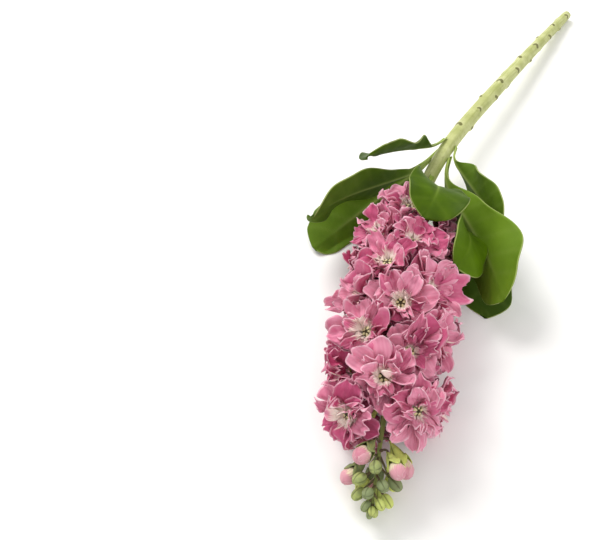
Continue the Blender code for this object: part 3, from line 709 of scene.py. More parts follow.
# %% A petal's middle line
def petal_middle(whorl, size, along, strap, draw):
    """Length, half width, and the rise, distance out and height of each row of a petal."""
    length = whorl["length"] * MM * size * draw.choice(LENGTH_DRAWS)
    half = 0.5 * whorl["width"] * MM * size * draw.uniform(*WIDTH_DRAW) * (STRAP_WIDTH if strap else 1)
    rise = math.radians(whorl["rise"] + draw.uniform(*RISE_DRAW) + (STRAP_RISE if strap else 0))
    claw = math.radians(max(whorl["rise"] + 14, 40))
    roll = math.radians(whorl["roll"] * draw.uniform(*ROLL_DRAW))
    angle = rise + (claw - rise) * (1 - smooth(along / CLAW_PART)) - roll * smooth((along - 0.45) / 0.55)
    step = length / (len(along) - 1)
    middle = (angle[1:] + angle[:-1]) / 2
    out = np.concatenate([[[0]], np.cumsum(np.cos(middle), axis=0)]) * step + whorl["ring"] * MM
    up = np.concatenate([[[0]], np.cumsum(np.sin(middle), axis=0)]) * step + whorl["height"] * MM
    return length, half, angle, out, up


print("claws end at", CLAW_PART, "of a petal")


# %% A petal's width, bend and fold
def petal_section(whorl, half, along, across, draw):
    """How far each point lies aside and above the middle line, before the rim ruffles."""
    tip = np.clip((along - 0.6) / 0.4, 0, 1)
    width = half * (0.1 + 0.9 * smooth(along / 0.62)) * np.sqrt(1 - draw.uniform(*TIP_DRAW) * tip ** 2.6)
    bend = whorl["bend"] * draw.uniform(0.2, 1.5) * (1 - 1.4 * along * draw.uniform(0.2, 1)) + 1e-3
    sideways = width * np.sin(bend * across) / bend
    lift = width * (1 - np.cos(bend * across)) / bend
    fold = draw.choice(FOLD_DRAWS) * draw.uniform(*FOLD_DRAW)
    return sideways, lift + fold * width * (np.sqrt(across ** 2 + 0.03) - 0.17)


print("folds drawn from", FOLD_DRAWS)


# %% Ruffles and creases
def petal_ruffle(along, across, draw):
    """Waves that run round the rim, some broad and some fine."""
    bearing = np.arctan2(across, 1.5 * along - 0.7)
    ruffle = np.sin(draw.choice([3, 4, 5]) * bearing + draw.uniform(0, math.tau))
    return ruffle + FINE_RUFFLE * np.sin(7 * bearing + draw.uniform(0, math.tau))


def petal_crease(along, across, draw):
    """Soft dents all over the blade, from two waves that cross."""
    first = np.sin(draw.uniform(6, 11) * along + draw.uniform(3, 6) * across + draw.uniform(0, math.tau))
    return first * np.sin(
        draw.uniform(5, 8) * across - draw.uniform(2, 6) * along + draw.uniform(0, math.tau))


print("fine ruffles are", FINE_RUFFLE, "of the broad ones")


# %% One petal
def petal_sheet(whorl, size, draw):
    """One petal in the plane of its own middle: out from the floret's axis, sideways, and up."""
    rows, columns = whorl["grid"]
    along, across = np.linspace(0, 1, rows)[:, None], np.linspace(-1, 1, columns)[None, :]
    strap = draw.random() < STRAP_SHARE + whorl["rise"] / 90
    length, half, angle, out, up = petal_middle(whorl, size, along, strap, draw)
    sideways, lift = petal_section(whorl, half, along, across, draw)
    rim, ruffle = 1 - (1 - across ** 2) * (1 - along ** 4), petal_ruffle(along, across, draw)
    wave = whorl["wave"] * MM
    lift = lift + wave * draw.uniform(*WAVE_DRAW) * rim ** 2 * smooth(along / 0.5) * ruffle
    lift = lift + CREASE * wave * petal_crease(along, across, draw) * smooth(along / CLAW_PART)
    notch = draw.uniform(*NOTCH_DRAW) * np.exp(-(across / 0.2) ** 2)
    back = length * along ** 3 * (TIP_ROUND * across ** 2 + notch + TIP_RUFFLE * ruffle)
    twist = math.radians(draw.gauss(0, STRAP_TWIST if strap else PETAL_TWIST)) * along
    sideways, lift = (sideways * np.cos(twist) - lift * np.sin(twist),
                      sideways * np.sin(twist) + lift * np.cos(twist))
    sideways = sideways + draw.uniform(*SKEW_DRAW) * length * along ** 2
    points = np.stack([out - lift * np.sin(angle) - back * np.cos(angle), sideways + 0 * angle,
                       up + lift * np.cos(angle) - back * np.sin(angle)], axis=-1)
    return points, along, across


trial = petal_sheet(WHORLS[1], 1.0, random.Random(1))[0]
print("a petal reaches", round(1000 * float(trial[..., 0].max()), 1), "mm from the floret's axis")

# %% [markdown]
# ## Room for each floret
#
# Neighbouring florets press on each other, and their petals turn up where they meet. Each floret gets a
# room: flat walls towards its neighbours and leaves, the surface below, and a wall behind. Points near a
# wall are lifted and eased back, so petals crowd as in life, and where florets press only rims lap.

# %% Measures of the rooms
FIRST_PETAL = 18.0 * MM
PETAL_LAP = [(0, 0.8 * MM), (0.8, 1.2 * MM), (1, 5.0 * MM)]
LEAF_NEAR, LEAF_CLEAR, SURFACE_CLEAR, ROOM_BEHIND = 30 * MM, 1.2 * MM, 0.4 * MM, 6.5 * MM
SPIKE_FOOT, FOOT_CLEAR = 326 * MM, 0.5 * MM
WALL_SOFT, WALL_RAISE = 0.72, 0.35
print("petals feel a wall from", WALL_SOFT, "of the way to it")


# %% Walls towards flowers and leaves
def walls_of_neighbours(floret):
    """A wall towards each other flower, nearer to the smaller one."""
    eye, own = floret["eye"], floret["size"] * FIRST_PETAL
    others = [(other["eye"], other["size"] * FIRST_PETAL) for other in florets if other is not floret]
    others += [(bud["centre"], bud["radius"] * BUD_STRETCH) for bud in green_buds]
    others += [(bud["eye"], PINK_BUD_RADIUS * BUD_STRETCH) for bud in pink_buds]
    lap = along_table(PETAL_LAP, floret["share"])
    return [((centre - eye).normalized(), (centre - eye).length * own / (own + reach) + lap)
            for centre, reach in others]


def walls_of_leaves(floret):
    """A wall towards each leaf that comes near."""
    walls = []
    for blade in leaf_blades:
        ways = blade["points"].reshape(-1, 3) - np.array(floret["eye"])
        distances = np.linalg.norm(ways, axis=1)
        nearest = int(distances.argmin())
        if distances[nearest] < LEAF_NEAR:
            walls.append((Vector(ways[nearest]).normalized(), distances[nearest] - LEAF_CLEAR))
    return walls


print("leaf walls of the first floret", len(walls_of_leaves(florets[0])))


# %% All walls round a floret
def walls_round(floret):
    """Plane normals out of a floret's room, with their distances from its eye."""
    eye = floret["eye"]
    foot, tangent, _, _ = stem_at(SPIKE_FOOT)
    walls = walls_of_neighbours(floret) + walls_of_leaves(floret)
    walls.append((Vector((0, 0, -1)), eye.z - SURFACE_CLEAR))
    walls.append((-floret["facing"], ROOM_BEHIND))
    walls.append((-tangent, (eye - foot).dot(tangent) - FOOT_CLEAR))
    return np.array([list(normal) for normal, _ in walls]), np.array([distance for _, distance in walls])


print("walls round the first floret", len(walls_round(florets[0])[1]))


# %% Petals eased in between the walls
def confine(points, floret, walls):
    """Bends points up and in so that they stay inside their floret's room."""
    normals, distances = walls
    eye = np.array(floret["eye"])
    reach = points - eye
    press = ((reach @ normals.T) / distances).max(axis=-1, keepdims=True)
    raised = np.array(floret["facing"]) * WALL_RAISE * np.linalg.norm(reach, axis=-1, keepdims=True)
    reach = reach + raised * np.clip(press - WALL_SOFT, 0, None)
    press = np.maximum(((reach @ normals.T) / distances).max(axis=-1, keepdims=True), 1e-6)
    eased = (1 - (1 - WALL_SOFT) * np.exp((WALL_SOFT - press) / (1 - WALL_SOFT))) / press
    return eye + reach * np.where(press > WALL_SOFT, eased, 1.0)


sunk = np.array([florets[0]["eye"] + Vector((0, 0, -1))])
back = confine(sunk, florets[0], walls_round(florets[0]))
print("a point far below the surface comes back to", round(1000 * float(back[0, 2]), 1), "mm over it")


# %% Pale hearts, and painted shade in deep crevices
PALE_TO, PALE_FADE = 3.5 * MM, 5.5 * MM
DEEP_FROM, DEEP_OVER = 1.0 * MM, 5.5 * MM
CREVICE_FROM, CREVICE_RISE, CREVICE_TO, CREVICE_FADE = 3 * MM, 3 * MM, 12.5 * MM, 8 * MM


def seen_from_eye(points, floret, pale):
    """How much of a pale heart and of painted crevice shade there is at points, by their place round the
    eye.
    """
    reach, facing = points - np.array(floret["eye"]), np.array(floret["facing"])
    height = reach @ facing
    aside = np.linalg.norm(reach - height[..., None] * facing, axis=-1)
    heart = 1 - smooth((aside - PALE_TO * pale) / (PALE_FADE * pale))
    # Points deep behind the eye, in a ring round it, get the painted crevice shade.
    deep = smooth((DEEP_FROM - height) / DEEP_OVER)
    ring = smooth((aside - CREVICE_FROM) / CREVICE_RISE) * (1 - smooth((aside - CREVICE_TO) / CREVICE_FADE))
    return dict(heart=heart, shade=deep * ring)


print("crevices are darkest", round((CREVICE_FROM + CREVICE_RISE) / MM), "to", round(CREVICE_TO / MM, 1),
      "mm from the axis")

# %% The heart of a floret
HEART_RADIUS, HEART_HEIGHT, HEART_BASE, SLIT_DEPTH = 2.9 * MM, 1.1 * MM, 0.7 * MM, 0.55 * MM
HEART_ROWS, HEART_SIDES = 8, 30


def floret_heart(stand, floret, walls):
    """The closed heart: pale tissue with five dark slits that meet in the middle."""
    share = np.linspace(0.05, 1, HEART_ROWS)[:, None]
    turn = (np.arange(HEART_SIDES) * math.tau / HEART_SIDES)[None, :]
    ray = np.abs(np.cos(2.5 * turn)) ** 3.5
    radius = HEART_RADIUS * np.sin(share * math.pi / 2) * (1 + 0 * turn)
    height = HEART_BASE + HEART_HEIGHT * np.cos(share * math.pi / 2)
    height = height - SLIT_DEPTH * ray * np.sin(share * math.pi)
    points = np.stack([radius * np.cos(turn), radius * np.sin(turn), height], axis=-1)
    slit = np.maximum(ray * smooth((1.15 - share) / 0.3), 1 - smooth((share - 0.12) / 0.2))
    return dict(points=confine(moved(points, stand), floret, walls), closed=True, caps=(0,),
                kept=dict(along=0.5, across=0.0, tone=0.5, heart=1.0, shade=0.0, star=0.3 + 0.7 * slit))


print("hearts are", round(2 * HEART_RADIUS / MM, 1), "mm across")

# %% The sheets of one floret
PETAL_THICKNESS, FIRST_FLORET_DRAW, FIRST_HABIT_DRAW = 0.28 * MM, 100, 500
AGE_DRAW, PALE_DRAW, TURN_DRAW = (-0.22, 0.22), (0.68, 1.05), (-0.3, 0.3)
OPENING, WHORL_TURN, STAR_ON_CLAWS = 10, 0.7, 0.3


def floret_sheets(floret, number):
    """The heart and all petals of a floret, which has its own age and pale middle."""
    draw, habit = random.Random(FIRST_FLORET_DRAW + number), random.Random(FIRST_HABIT_DRAW + number)
    walls, age, pale = walls_round(floret), habit.uniform(*AGE_DRAW), habit.uniform(*PALE_DRAW)
    stand = facing_matrix(floret["eye"], floret["facing"], floret["roll"])
    sheets = [floret_heart(stand, floret, walls)]
    for order, whorl in enumerate(WHORLS):
        opened = dict(whorl, rise=whorl["rise"] + OPENING * floret["share"] ** 2)
        for petal in range(whorl["count"]):
            turn = math.tau * (petal + draw.uniform(*TURN_DRAW)) / whorl["count"] + order * WHORL_TURN
            points, along, across = petal_sheet(opened, floret["size"], draw)
            points = confine(moved(points, stand @ Matrix.Rotation(turn, 4, "Z")), floret, walls)
            star = STAR_ON_CLAWS * (1 - smooth(along / CLAW_PART)) * (order == len(WHORLS) - 1)
            sheets.append(dict(points=points, kept=dict(
                along=along, across=across, tone=draw.random() + age, star=star,
                **seen_from_eye(points, floret, pale))))
    return sheets


for number, floret in enumerate(florets, 1):
    add_piece(f"bloom_{number:02d}", floret_sheets(floret, number), [petal_front, petal_back],
              f"floret_{number:02d}", thickness=PETAL_THICKNESS)
print("petals", sum(whorl["count"] for whorl in WHORLS) * FLORET_COUNT)

# %% [markdown]
# ## Furled pink buds
#
# A bud about to open shows its outer petals wrapped round each other like a turban. Each of five petals
# covers about a third of the bud, so one edge lies on the next petal and the other under the last. A
# sphere with painted lines would miss those edges, which catch the light, so the petals are real sheets.

# %% A furled bud's profile
BUD_PROFILE = [(-0.5, 0.42), (-0.25, 0.66), (0.1, 0.86), (0.5, 0.97), (0.85, 1.0), (1.2, 0.92), (1.55, 0.68),
               (1.78, 0.4), (1.9, 0.06)]
BUD_HEIGHTS, BUD_WIDTHS = zip(*BUD_PROFILE)
BUD_PETALS, BUD_PETAL_GRID, BUD_PETAL_THICKNESS, FIRST_BUD_DRAW = 5, (19, 15), 0.25 * MM, 300
HALF_SPAN, NARROWING, WIND = 1.05, 0.15, 1.1
RIM_ARCH, LAP_STEP, RIM_WAVE = 0.18, 0.05, 0.03
CORE_FOOT, CORE_WIDTH, CORE_ROWS, CORE_SIDES = -4.2 * MM, 0.94, 16, 20
print("a furled bud is", BUD_HEIGHTS[-1] - BUD_HEIGHTS[0], "times its radius high")


# %% Petals and core of a furled bud
def furled_petal(petal, along, across):
    """One lapped petal of a bud of radius 1."""
    height = np.interp(along ** 0.9, np.linspace(0, 1, len(BUD_PROFILE)), BUD_HEIGHTS)
    height = height - RIM_ARCH * across ** 2 * along ** 4
    radius = np.interp(height, BUD_HEIGHTS, BUD_WIDTHS) * (1 - LAP_STEP + LAP_STEP * across)
    radius = radius + RIM_WAVE * np.sin(5 * across + petal) * along ** 3
    bearing = HALF_SPAN * across * (1 - NARROWING * along ** 3) + WIND * along ** 2
    bearing = bearing + math.tau * petal / BUD_PETALS
    return np.stack([radius * np.cos(bearing), radius * np.sin(bearing), height + 0 * across], axis=-1)


def furled_core(ball):
    """The closed inside of a bud of radius 1, down to its seat, with how far up each row is."""
    neck = np.linspace(0, 1, CORE_ROWS)[:, None]
    turn = (np.arange(CORE_SIDES) * math.tau / CORE_SIDES)[None, :]
    foot = CORE_FOOT / ball
    tall = np.interp(neck, [0, 0.2, 1], [foot, BUD_HEIGHTS[0], BUD_HEIGHTS[-1]])
    widths = [0.1, *(CORE_WIDTH * width for width in BUD_WIDTHS[:-1]), 0.01]
    wide = np.interp(tall, [foot, *BUD_HEIGHTS], widths)
    return np.stack([wide * np.cos(turn), wide * np.sin(turn), tall + 0 * turn], axis=-1), neck


print("petals of a furled bud", BUD_PETALS)


# %% The furled buds
def pink_bud_sheets(bud, number):
    """The lapped petals of a furled bud, and the closed core under them."""
    draw, ball = random.Random(FIRST_BUD_DRAW + number), PINK_BUD_RADIUS * bud["size"]
    stand = facing_matrix(bud["eye"], bud["facing"], bud["roll"])
    rows, columns = BUD_PETAL_GRID
    along, across = np.linspace(0, 1, rows)[:, None], np.linspace(-1, 1, columns)[None, :]
    sheets = [dict(points=moved(furled_petal(petal, along, across) * ball, stand), kept=dict(
        along=along, across=across, tone=draw.random() * 0.7, shade=0.0, star=0.0,
        heart=1 - smooth((along - 0.05) / 0.75))) for petal in range(BUD_PETALS)]
    points, neck = furled_core(ball)
    sheets.append(dict(points=moved(points * ball, stand), closed=True, caps=(-1,), kept=dict(
        along=0.5, across=0.0, tone=0.6, heart=1 - smooth(neck / 0.6), shade=0.0, star=0.0)))
    return sheets


for number, bud in enumerate(pink_buds, 1):
    add_piece(f"furled_bud_{number:02d}", pink_bud_sheets(bud, number), [bud_petal, bud_petal],
              f"pink_bud_{number:02d}", thickness=BUD_PETAL_THICKNESS, offset=-1)
print("furled buds", len(pink_buds))

# %% [markdown]
# ## Green tissue
#
# Stem, stalks, sepals and leaves are all waxy green, but each has its own colours and relief: the stem is
# pale with fine streaks and dark scars, the sepals are greyer with dark seams, the leaves have a pale
# midrib and margin. One function lays the shared wax over a colour that each finish works out for itself.

# %% The waxy green surface
WAX_SHINE, LEAF_SHINE = 0.35, 0.12


def waxy(start, colour, roughness, normal, shine=WAX_SHINE):
    """A soft waxy gloss over a colour."""
    return start.node("ShaderNodeBsdfPrincipled", None, {
        "Base Color": colour, "Roughness": roughness, "Specular IOR Level": shine, "Normal": normal})


print("wax shines", WAX_SHINE, "on the stem and", LEAF_SHINE, "on leaves")

# %% Finish of the stem
STEM_PALE, STEM_DULL, STREAK = paint(198, 202, 142), paint(166, 172, 104), paint(156, 164, 92)
STEM_UPPER, CUSHION, FLECK = paint(132, 146, 76), paint(232, 230, 184), paint(136, 142, 78)
SCAR, PITH = paint(98, 98, 44), paint(240, 238, 206)


def stem_finish():
    """Pale yellow-green with streaks, brown crescents where leaves were stripped, and cream pith."""
    material, start = new_finish("stem_skin")
    along, scar, cushion, pith, round_it = kept(start, "along", "scar", "cushion", "pith", "round")
    where = start.node("ShaderNodeCombineXYZ", None, {0: round_it * 3.0, 1: along * 6.0})
    streaks = start.node("ShaderNodeTexNoise", None, {"Vector": where, "Scale": 3.0, "Detail": 4.0})
    clouds = cloudy(start, 90)
    colour = clouds.rise(0.25, 0.8).blend(STEM_PALE, STEM_DULL)
    colour = (streaks.rise(0.46, 0.66) * 0.6).blend(colour, STREAK)
    colour = (along.rise(0.6, 0.92) * 0.85).blend(colour, STEM_UPPER)
    colour = (cushion * 0.5).blend(colour, CUSHION)
    colour = (cloudy(start, 420, 2).rise(0.56, 0.72) * 0.3).blend(colour, FLECK)
    colour = (scar.rise(0.28, 0.62) * 0.9).blend(colour, SCAR)
    colour = pith.blend(colour, PITH)
    height = streaks * 0.6 + cloudy(start, 900, 2) * 0.4
    show(start, waxy(start, colour, 0.42 + clouds * 0.18, relief(start, height, 0.35, 0.0004)))
    return material


stem_skin = stem_finish()
print("finish", stem_skin.name)

# %% Finish of the sepals
SEPAL_LIGHT, SEPAL_GREY, YOUNG_GREEN = paint(224, 234, 126), paint(138, 150, 106), paint(132, 146, 108)
SEPAL_FLUSH, SEAM = paint(108, 92, 62), paint(60, 62, 30)
SEPAL_GLOW, SEPAL_THROUGH = paint(190, 206, 90), 0.16


def sepal_finish():
    """Grey-green sepals with dark seams and a brown flush."""
    material, start = new_finish("sepal_skin")
    seam, young, tone = kept(start, "seam", "young", "tone")
    clouds = cloudy(start, 420)
    colour = (clouds * 0.6 + tone * 1.2 - 0.4).rise(0.1, 0.9).blend(SEPAL_LIGHT, SEPAL_GREY)
    colour = (young * 0.4).blend(colour, YOUNG_GREEN)
    colour = (cloudy(start, 330, 2).rise(0.52, 0.75) * 0.4).blend(colour, SEPAL_FLUSH)
    colour = (seam * 0.8).blend(colour, SEAM)
    bump = relief(start, cloudy(start, 1600, 2), 0.3, 0.0003)
    lit_through(start, waxy(start, colour, 0.6 + clouds * 0.15, bump), SEPAL_GLOW, SEPAL_THROUGH)
    return material


sepal_skin = sepal_finish()
print("finish", sepal_skin.name)

# %% Finish of the flower stalks
STALK_GREEN, STALK_FLUSH = paint(150, 168, 84), paint(92, 66, 58)


def stalk_finish():
    """Thin flower stalks, green under florets and flushed brown-purple under buds."""
    material, start = new_finish("stalk_skin")
    tone = kept(start, "tone")[0]
    clouds = cloudy(start, 500, 2)
    colour = (tone + clouds * 0.5 - 0.25).rise(0.3, 1.0).blend(STALK_GREEN, STALK_FLUSH)
    show(start, waxy(start, colour, 0.5 + clouds * 0.1, relief(start, clouds, 0.2, 0.0002)))
    return material


stalk_skin = stalk_finish()
print("finish", stalk_skin.name)

# %% [markdown]
# ## The stem
#
# The bare lower stem carries a scar at every place where a leaf was stripped: a low cushion with a brown
# crescent on it. A bump map would leave the outline smooth, but the cushions show in silhouette, so they
# are raised in the mesh, on a tube of fine rings. The cut end shows paler pith.

# %% Leaf scars
SCAR_COUNT, SCARS_FROM, SCARS_OVER, FIRST_SCAR_TURN, SCAR_DRAW = 26, 9, 225, 0.9, 40
SCAR_BOLDNESS = (0.75, 1.2)
CUSHION_BEHIND, CUSHION_AHEAD, CUSHION_WIDTH, CUSHION_LIFT = 4.2 * MM, 1.5 * MM, 2.1 * MM, 1.3 * MM
SCAR_WIDTH, SCAR_LENGTH, SCAR_DEPTH = 2.6 * MM, 1.9 * MM, 0.35 * MM
NOTCH_WIDTH, NOTCH_LENGTH, NOTCH_AHEAD = 1.3 * MM, 0.9 * MM, 1.6 * MM
scars = [((SCARS_FROM + SCARS_OVER * index / (SCAR_COUNT - 1)) * MM, FIRST_SCAR_TURN + index * GOLDEN_ANGLE)
         for index in range(SCAR_COUNT)]


def scar_marks(at, turn, radius):
    """How much of a raised cushion and of a brown crescent there is at points on the stem.

    The crescent is an oval with a smaller one taken out on its side towards the tip.
    """
    cushion, scar, draw = np.zeros_like(radius), np.zeros_like(radius), random.Random(SCAR_DRAW)
    for place, bearing in scars:
        bold = draw.uniform(*SCAR_BOLDNESS)
        ahead = (at - place) / bold
        aside = (np.mod(turn - bearing + math.pi, math.tau) - math.pi) * radius / bold
        length = np.where(ahead < 0, CUSHION_BEHIND, CUSHION_AHEAD)
        cushion = np.maximum(cushion, np.exp(-(ahead / length) ** 2 - (aside / CUSHION_WIDTH) ** 2))
        outer = (aside / SCAR_WIDTH) ** 2 + (ahead / SCAR_LENGTH) ** 2
        inner = (aside / NOTCH_WIDTH) ** 2 + ((ahead - NOTCH_AHEAD) / NOTCH_LENGTH) ** 2
        scar = np.maximum(scar, smooth((1.5 - outer) / 1.1) * smooth((inner - 0.3) / 1.2))
    return cushion, scar


print("scars", len(scars), "from", SCARS_FROM, "to", SCARS_FROM + SCARS_OVER, "mm from the cut")

# %% Stem surface
STEM_RING, STEM_SIDES = 0.7 * MM, 48
THIN_FROM, THIN_OVER, THIN_SHARE = 465 * MM, 40 * MM, 0.3
BROAD_RIB, FINE_RIB = 0.10 * MM, 0.05 * MM


def stem_sheet():
    """The skin of the stem from the cut to the tip, a little ribbed, with its scars."""
    at = np.linspace(0, STEM_LENGTH, round(STEM_LENGTH / STEM_RING) + 1)
    places = [stem_at(float(value)) for value in at]
    centre, side, up = (np.array([list(place[part]) for place in places])[:, None, :] for part in (0, 2, 3))
    turn = (np.arange(STEM_SIDES) * math.tau / STEM_SIDES)[None, :]
    base = np.array([stem_radius(float(value)) for value in at])[:, None] + 0 * turn
    at = at[:, None]
    base = base * (1 - THIN_SHARE * smooth((at - THIN_FROM) / THIN_OVER))
    ribs = BROAD_RIB * np.sin(5 * turn + 9 * at) + FINE_RIB * np.sin(11 * turn + 31 * at)
    cushion, scar = scar_marks(at, turn, base)
    radius = base + ribs + CUSHION_LIFT * cushion - SCAR_DEPTH * scar
    away = side * np.cos(turn)[..., None] + up * np.sin(turn)[..., None]
    return centre + away * radius[..., None], dict(
        along=at / STEM_LENGTH, round=np.abs(turn / math.pi - 1), cushion=cushion, scar=scar, pith=0.0)


skin_points, skin_numbers = stem_sheet()
print("stem rings", len(skin_points), "of", STEM_SIDES, "points")

# %% Cut faces, and the whole stem
CUT_RINGS, HOLLOW = np.array([1.0, 0.94, 0.86, 0.7, 0.5, 0.3, 0.12])[:, None, None], 0.5 * MM


def cut_face(ring, inward, along):
    """Rings from the edge of a cut to its middle, with pith that has dried a little hollow."""
    middle = ring.mean(axis=0)
    hollow = HOLLOW * smooth((0.9 - CUT_RINGS) / 0.5)
    points = middle + (ring[None] - middle) * CUT_RINGS + np.array(inward) * hollow
    return dict(points=points, closed=True, caps=(-1,), kept=dict(
        along=along, round=0.5, cushion=0.0, scar=0.0, pith=smooth((0.97 - CUT_RINGS[..., 0]) / 0.12)))


stem_piece = add_piece("stem_skin", [
    dict(points=skin_points, closed=True, kept=skin_numbers),
    cut_face(skin_points[0][::-1], stem_at(0)[1], 0.0),
    cut_face(skin_points[-1], -stem_at(STEM_LENGTH)[1], 1.0)], [stem_skin], "stem")
print("stem faces", len(stem_piece.data.polygons))

# %% [markdown]
# ## Stalks, sepals and green buds
#
# Every floret stands on a thin stalk and sits in a calyx: a tube of four sepals with free tips. On the
# buds that show petals the sepals still clasp the lower half, and at the tip of the spike they close
# over the whole bud and meet in dark seams. All three are one tube of points with a different profile.

# %% Tubes along a curve
# No stalk runs in the steady direction, so a tube's sides can be measured from it.
TUBE_SIDES, STEADY = 10, np.array([0.31, 0.17, 0.93])


def tube_sheet(knots, radii, steps, tone):
    """A round tube from the first knot to the last, bent towards the middle one."""
    start, bend, end = (np.array(knot) for knot in knots)
    share = np.linspace(0, 1, steps)[:, None]
    line = (1 - share) ** 2 * start + 2 * share * (1 - share) * bend + share ** 2 * end
    ahead = np.gradient(line, axis=0)
    ahead /= np.linalg.norm(ahead, axis=1, keepdims=True)
    side = np.cross(ahead, STEADY)
    side /= np.linalg.norm(side, axis=1, keepdims=True)
    up = np.cross(ahead, side)
    turn = (np.arange(TUBE_SIDES) * math.tau / TUBE_SIDES)[None, :, None]
    radius = np.interp(share, np.linspace(0, 1, len(radii)), radii)[:, :, None]
    points = line[:, None] + (side[:, None] * np.cos(turn) + up[:, None] * np.sin(turn)) * radius
    return dict(points=points, closed=True, caps=(0, -1), kept=dict(tone=tone))


print("stalks have", TUBE_SIDES, "sides")

# %% Stalks of florets and furled buds
EYE_TO_SEAT, CALYX_LENGTH, STALK_LEAD, STALK_BOW = 4.75 * MM, 8 * MM, 11 * MM, 1.2 * MM
STALK_RADII = np.array([0.9775, 0.663, 0.595, 0.646, 0.935]) * MM
STALK_STEPS, BUD_STALK_STEPS = 14, 8
FLORET_STALK_TONE, PINK_BUD_STALK_TONE, GREEN_BUD_STALK_TONE = 0.35, 0.9, 0.8


def calyx_foot(flower):
    """Where a flower's stalk ends and its calyx starts."""
    return flower["eye"] - flower["facing"] * (EYE_TO_SEAT + CALYX_LENGTH * flower["size"])


def stalk_sheet(flower, tone):
    """A stalk that leaves the stem behind its flower and bows up to the calyx."""
    along, foot = flower["along"] - STALK_LEAD, calyx_foot(flower)
    root, tangent, _, _ = stem_at(along)
    away = outward(along, flower["turn"])
    start = root + away * stem_radius(along) * 0.3
    bend = start.lerp(foot, 0.55) + (away - tangent) * STALK_BOW
    end = foot + flower["facing"] * 1.5 * MM
    return tube_sheet([start, bend * 1.6 - (start + foot) * 0.3, end], STALK_RADII, STALK_STEPS, tone)


stalks = [stalk_sheet(floret, FLORET_STALK_TONE) for floret in florets]
stalks += [stalk_sheet(bud, PINK_BUD_STALK_TONE) for bud in pink_buds]
print("stalks", len(stalks))

# %% Calyxes of florets and furled buds
CALYX_ROWS, CALYX_SIDES, SEAM_WIDTH, SEAM_DEPTH, TONE_STEP = 18, 32, 0.22, 0.07, 0.37
OPEN_TIPS, CLASPING_TIPS = dict(rise=3.0, spread=0.3), dict(rise=4.6, spread=0.1)


def open_profile(size):
    """Heights and radii of the calyx of an open floret, in mm."""
    return [(0, 0.6), (0.5, 1.35 * size), (3 * size, 1.8 * size), (6 * size, 2.15 * size),
            (8.4 * size, 2.35 * size), (10.6 * size, 2.7 * size)]


def clasping_profile(size):
    """Heights and radii of the calyx that clasps a furled bud, in mm."""
    seat, ball = CALYX_LENGTH / MM * size, PINK_BUD_RADIUS / MM * size
    return [(0, 0.7), (1.6, 0.9), (3.2, 1.7), (6, 2.9), (seat + 2.4, ball * 0.80),
            (seat + 4.6, ball * 0.99), (seat + 7.4, ball * 1.06)]


def calyx_sheet(flower, profile, tips, number):
    """A tube of four sepals: its rim runs up into four points, with a groove between each two."""
    share = np.linspace(0, 1, CALYX_ROWS)[:, None]
    turn = (np.arange(CALYX_SIDES) * math.tau / CALYX_SIDES)[None, :]
    heights, radii = zip(*profile)
    stations = np.linspace(0, 1, len(profile))
    peak, free = np.abs(np.cos(2 * turn)) ** 1.3, smooth((share - 0.55) / 0.45)
    seam = np.exp(-(np.cos(2 * turn) / SEAM_WIDTH) ** 2) * (1 - 0.4 * free)
    height = np.interp(share, stations, heights) - (1 - peak) * tips["rise"] * free
    radius = np.interp(share, stations, radii) * (1 - SEAM_DEPTH * seam) + tips["spread"] * peak * free ** 2
    points = np.stack([radius * np.cos(turn), radius * np.sin(turn), height], axis=-1) * MM
    stand = facing_matrix(calyx_foot(flower), flower["facing"], flower["roll"])
    return dict(points=moved(points, stand), closed=True,
                kept=dict(seam=seam, young=0.0, tone=(number * TONE_STEP) % 1))


calyxes = [calyx_sheet(floret, open_profile(floret["size"]), OPEN_TIPS, number)
           for number, floret in enumerate(florets)]
calyxes += [calyx_sheet(bud, clasping_profile(bud["size"]), CLASPING_TIPS, number)
            for number, bud in enumerate(pink_buds, FLORET_COUNT)]
print("calyxes", len(calyxes))

# %% Green buds at the tip
GREEN_BUD_ROWS, GREEN_BUD_SIDES, SEPAL_THICKNESS = 20, 32, 0.3 * MM
BUD_STALK_RADII = np.array([0.75, 0.6, 0.6, 0.8]) * MM
BUD_SEAM_DEPTH, BUD_TONE_STEP = 0.09, 9.7


def green_bud_sheet(bud):
    """Four closed sepals that meet in seams, pointed at the top."""
    share = np.linspace(0.005, 0.995, GREEN_BUD_ROWS)[:, None]
    turn = (np.arange(GREEN_BUD_SIDES) * math.tau / GREEN_BUD_SIDES)[None, :]
    seam = np.exp(-(np.sin(2 * turn) / SEAM_WIDTH) ** 2) * smooth(share / 0.25)
    height = -BUD_STRETCH * np.cos(math.pi * share) - 0.12 * seam * smooth((share - 0.8) / 0.2)
    radius = np.sin(math.pi * share) ** 0.85 * (1 - 0.10 * share) * (1 - BUD_SEAM_DEPTH * seam)
    points = np.stack([radius * np.cos(turn), radius * np.sin(turn), height], axis=-1) * bud["radius"]
    return dict(points=moved(points, facing_matrix(bud["centre"], bud["aim"], 0.3)), closed=True,
                caps=(0, -1), kept=dict(
                    seam=seam, young=bud["share"], tone=(bud["share"] * BUD_TONE_STEP) % 1))


for bud in green_buds:
    halfway = bud["root"].lerp(bud["centre"], 0.5)
    knots = [bud["root"], halfway, bud["centre"]]
    stalks.append(tube_sheet(knots, BUD_STALK_RADII, BUD_STALK_STEPS, GREEN_BUD_STALK_TONE))
add_piece("flower_stalks", stalks, [stalk_skin], "stem")
add_piece("calyxes", calyxes, [sepal_skin], "stem", thickness=SEPAL_THICKNESS, offset=-1)
add_piece("green_buds", [green_bud_sheet(bud) for bud in green_buds], [sepal_skin], "stem")
print("green buds", len(green_buds), "stalks in all", len(stalks))

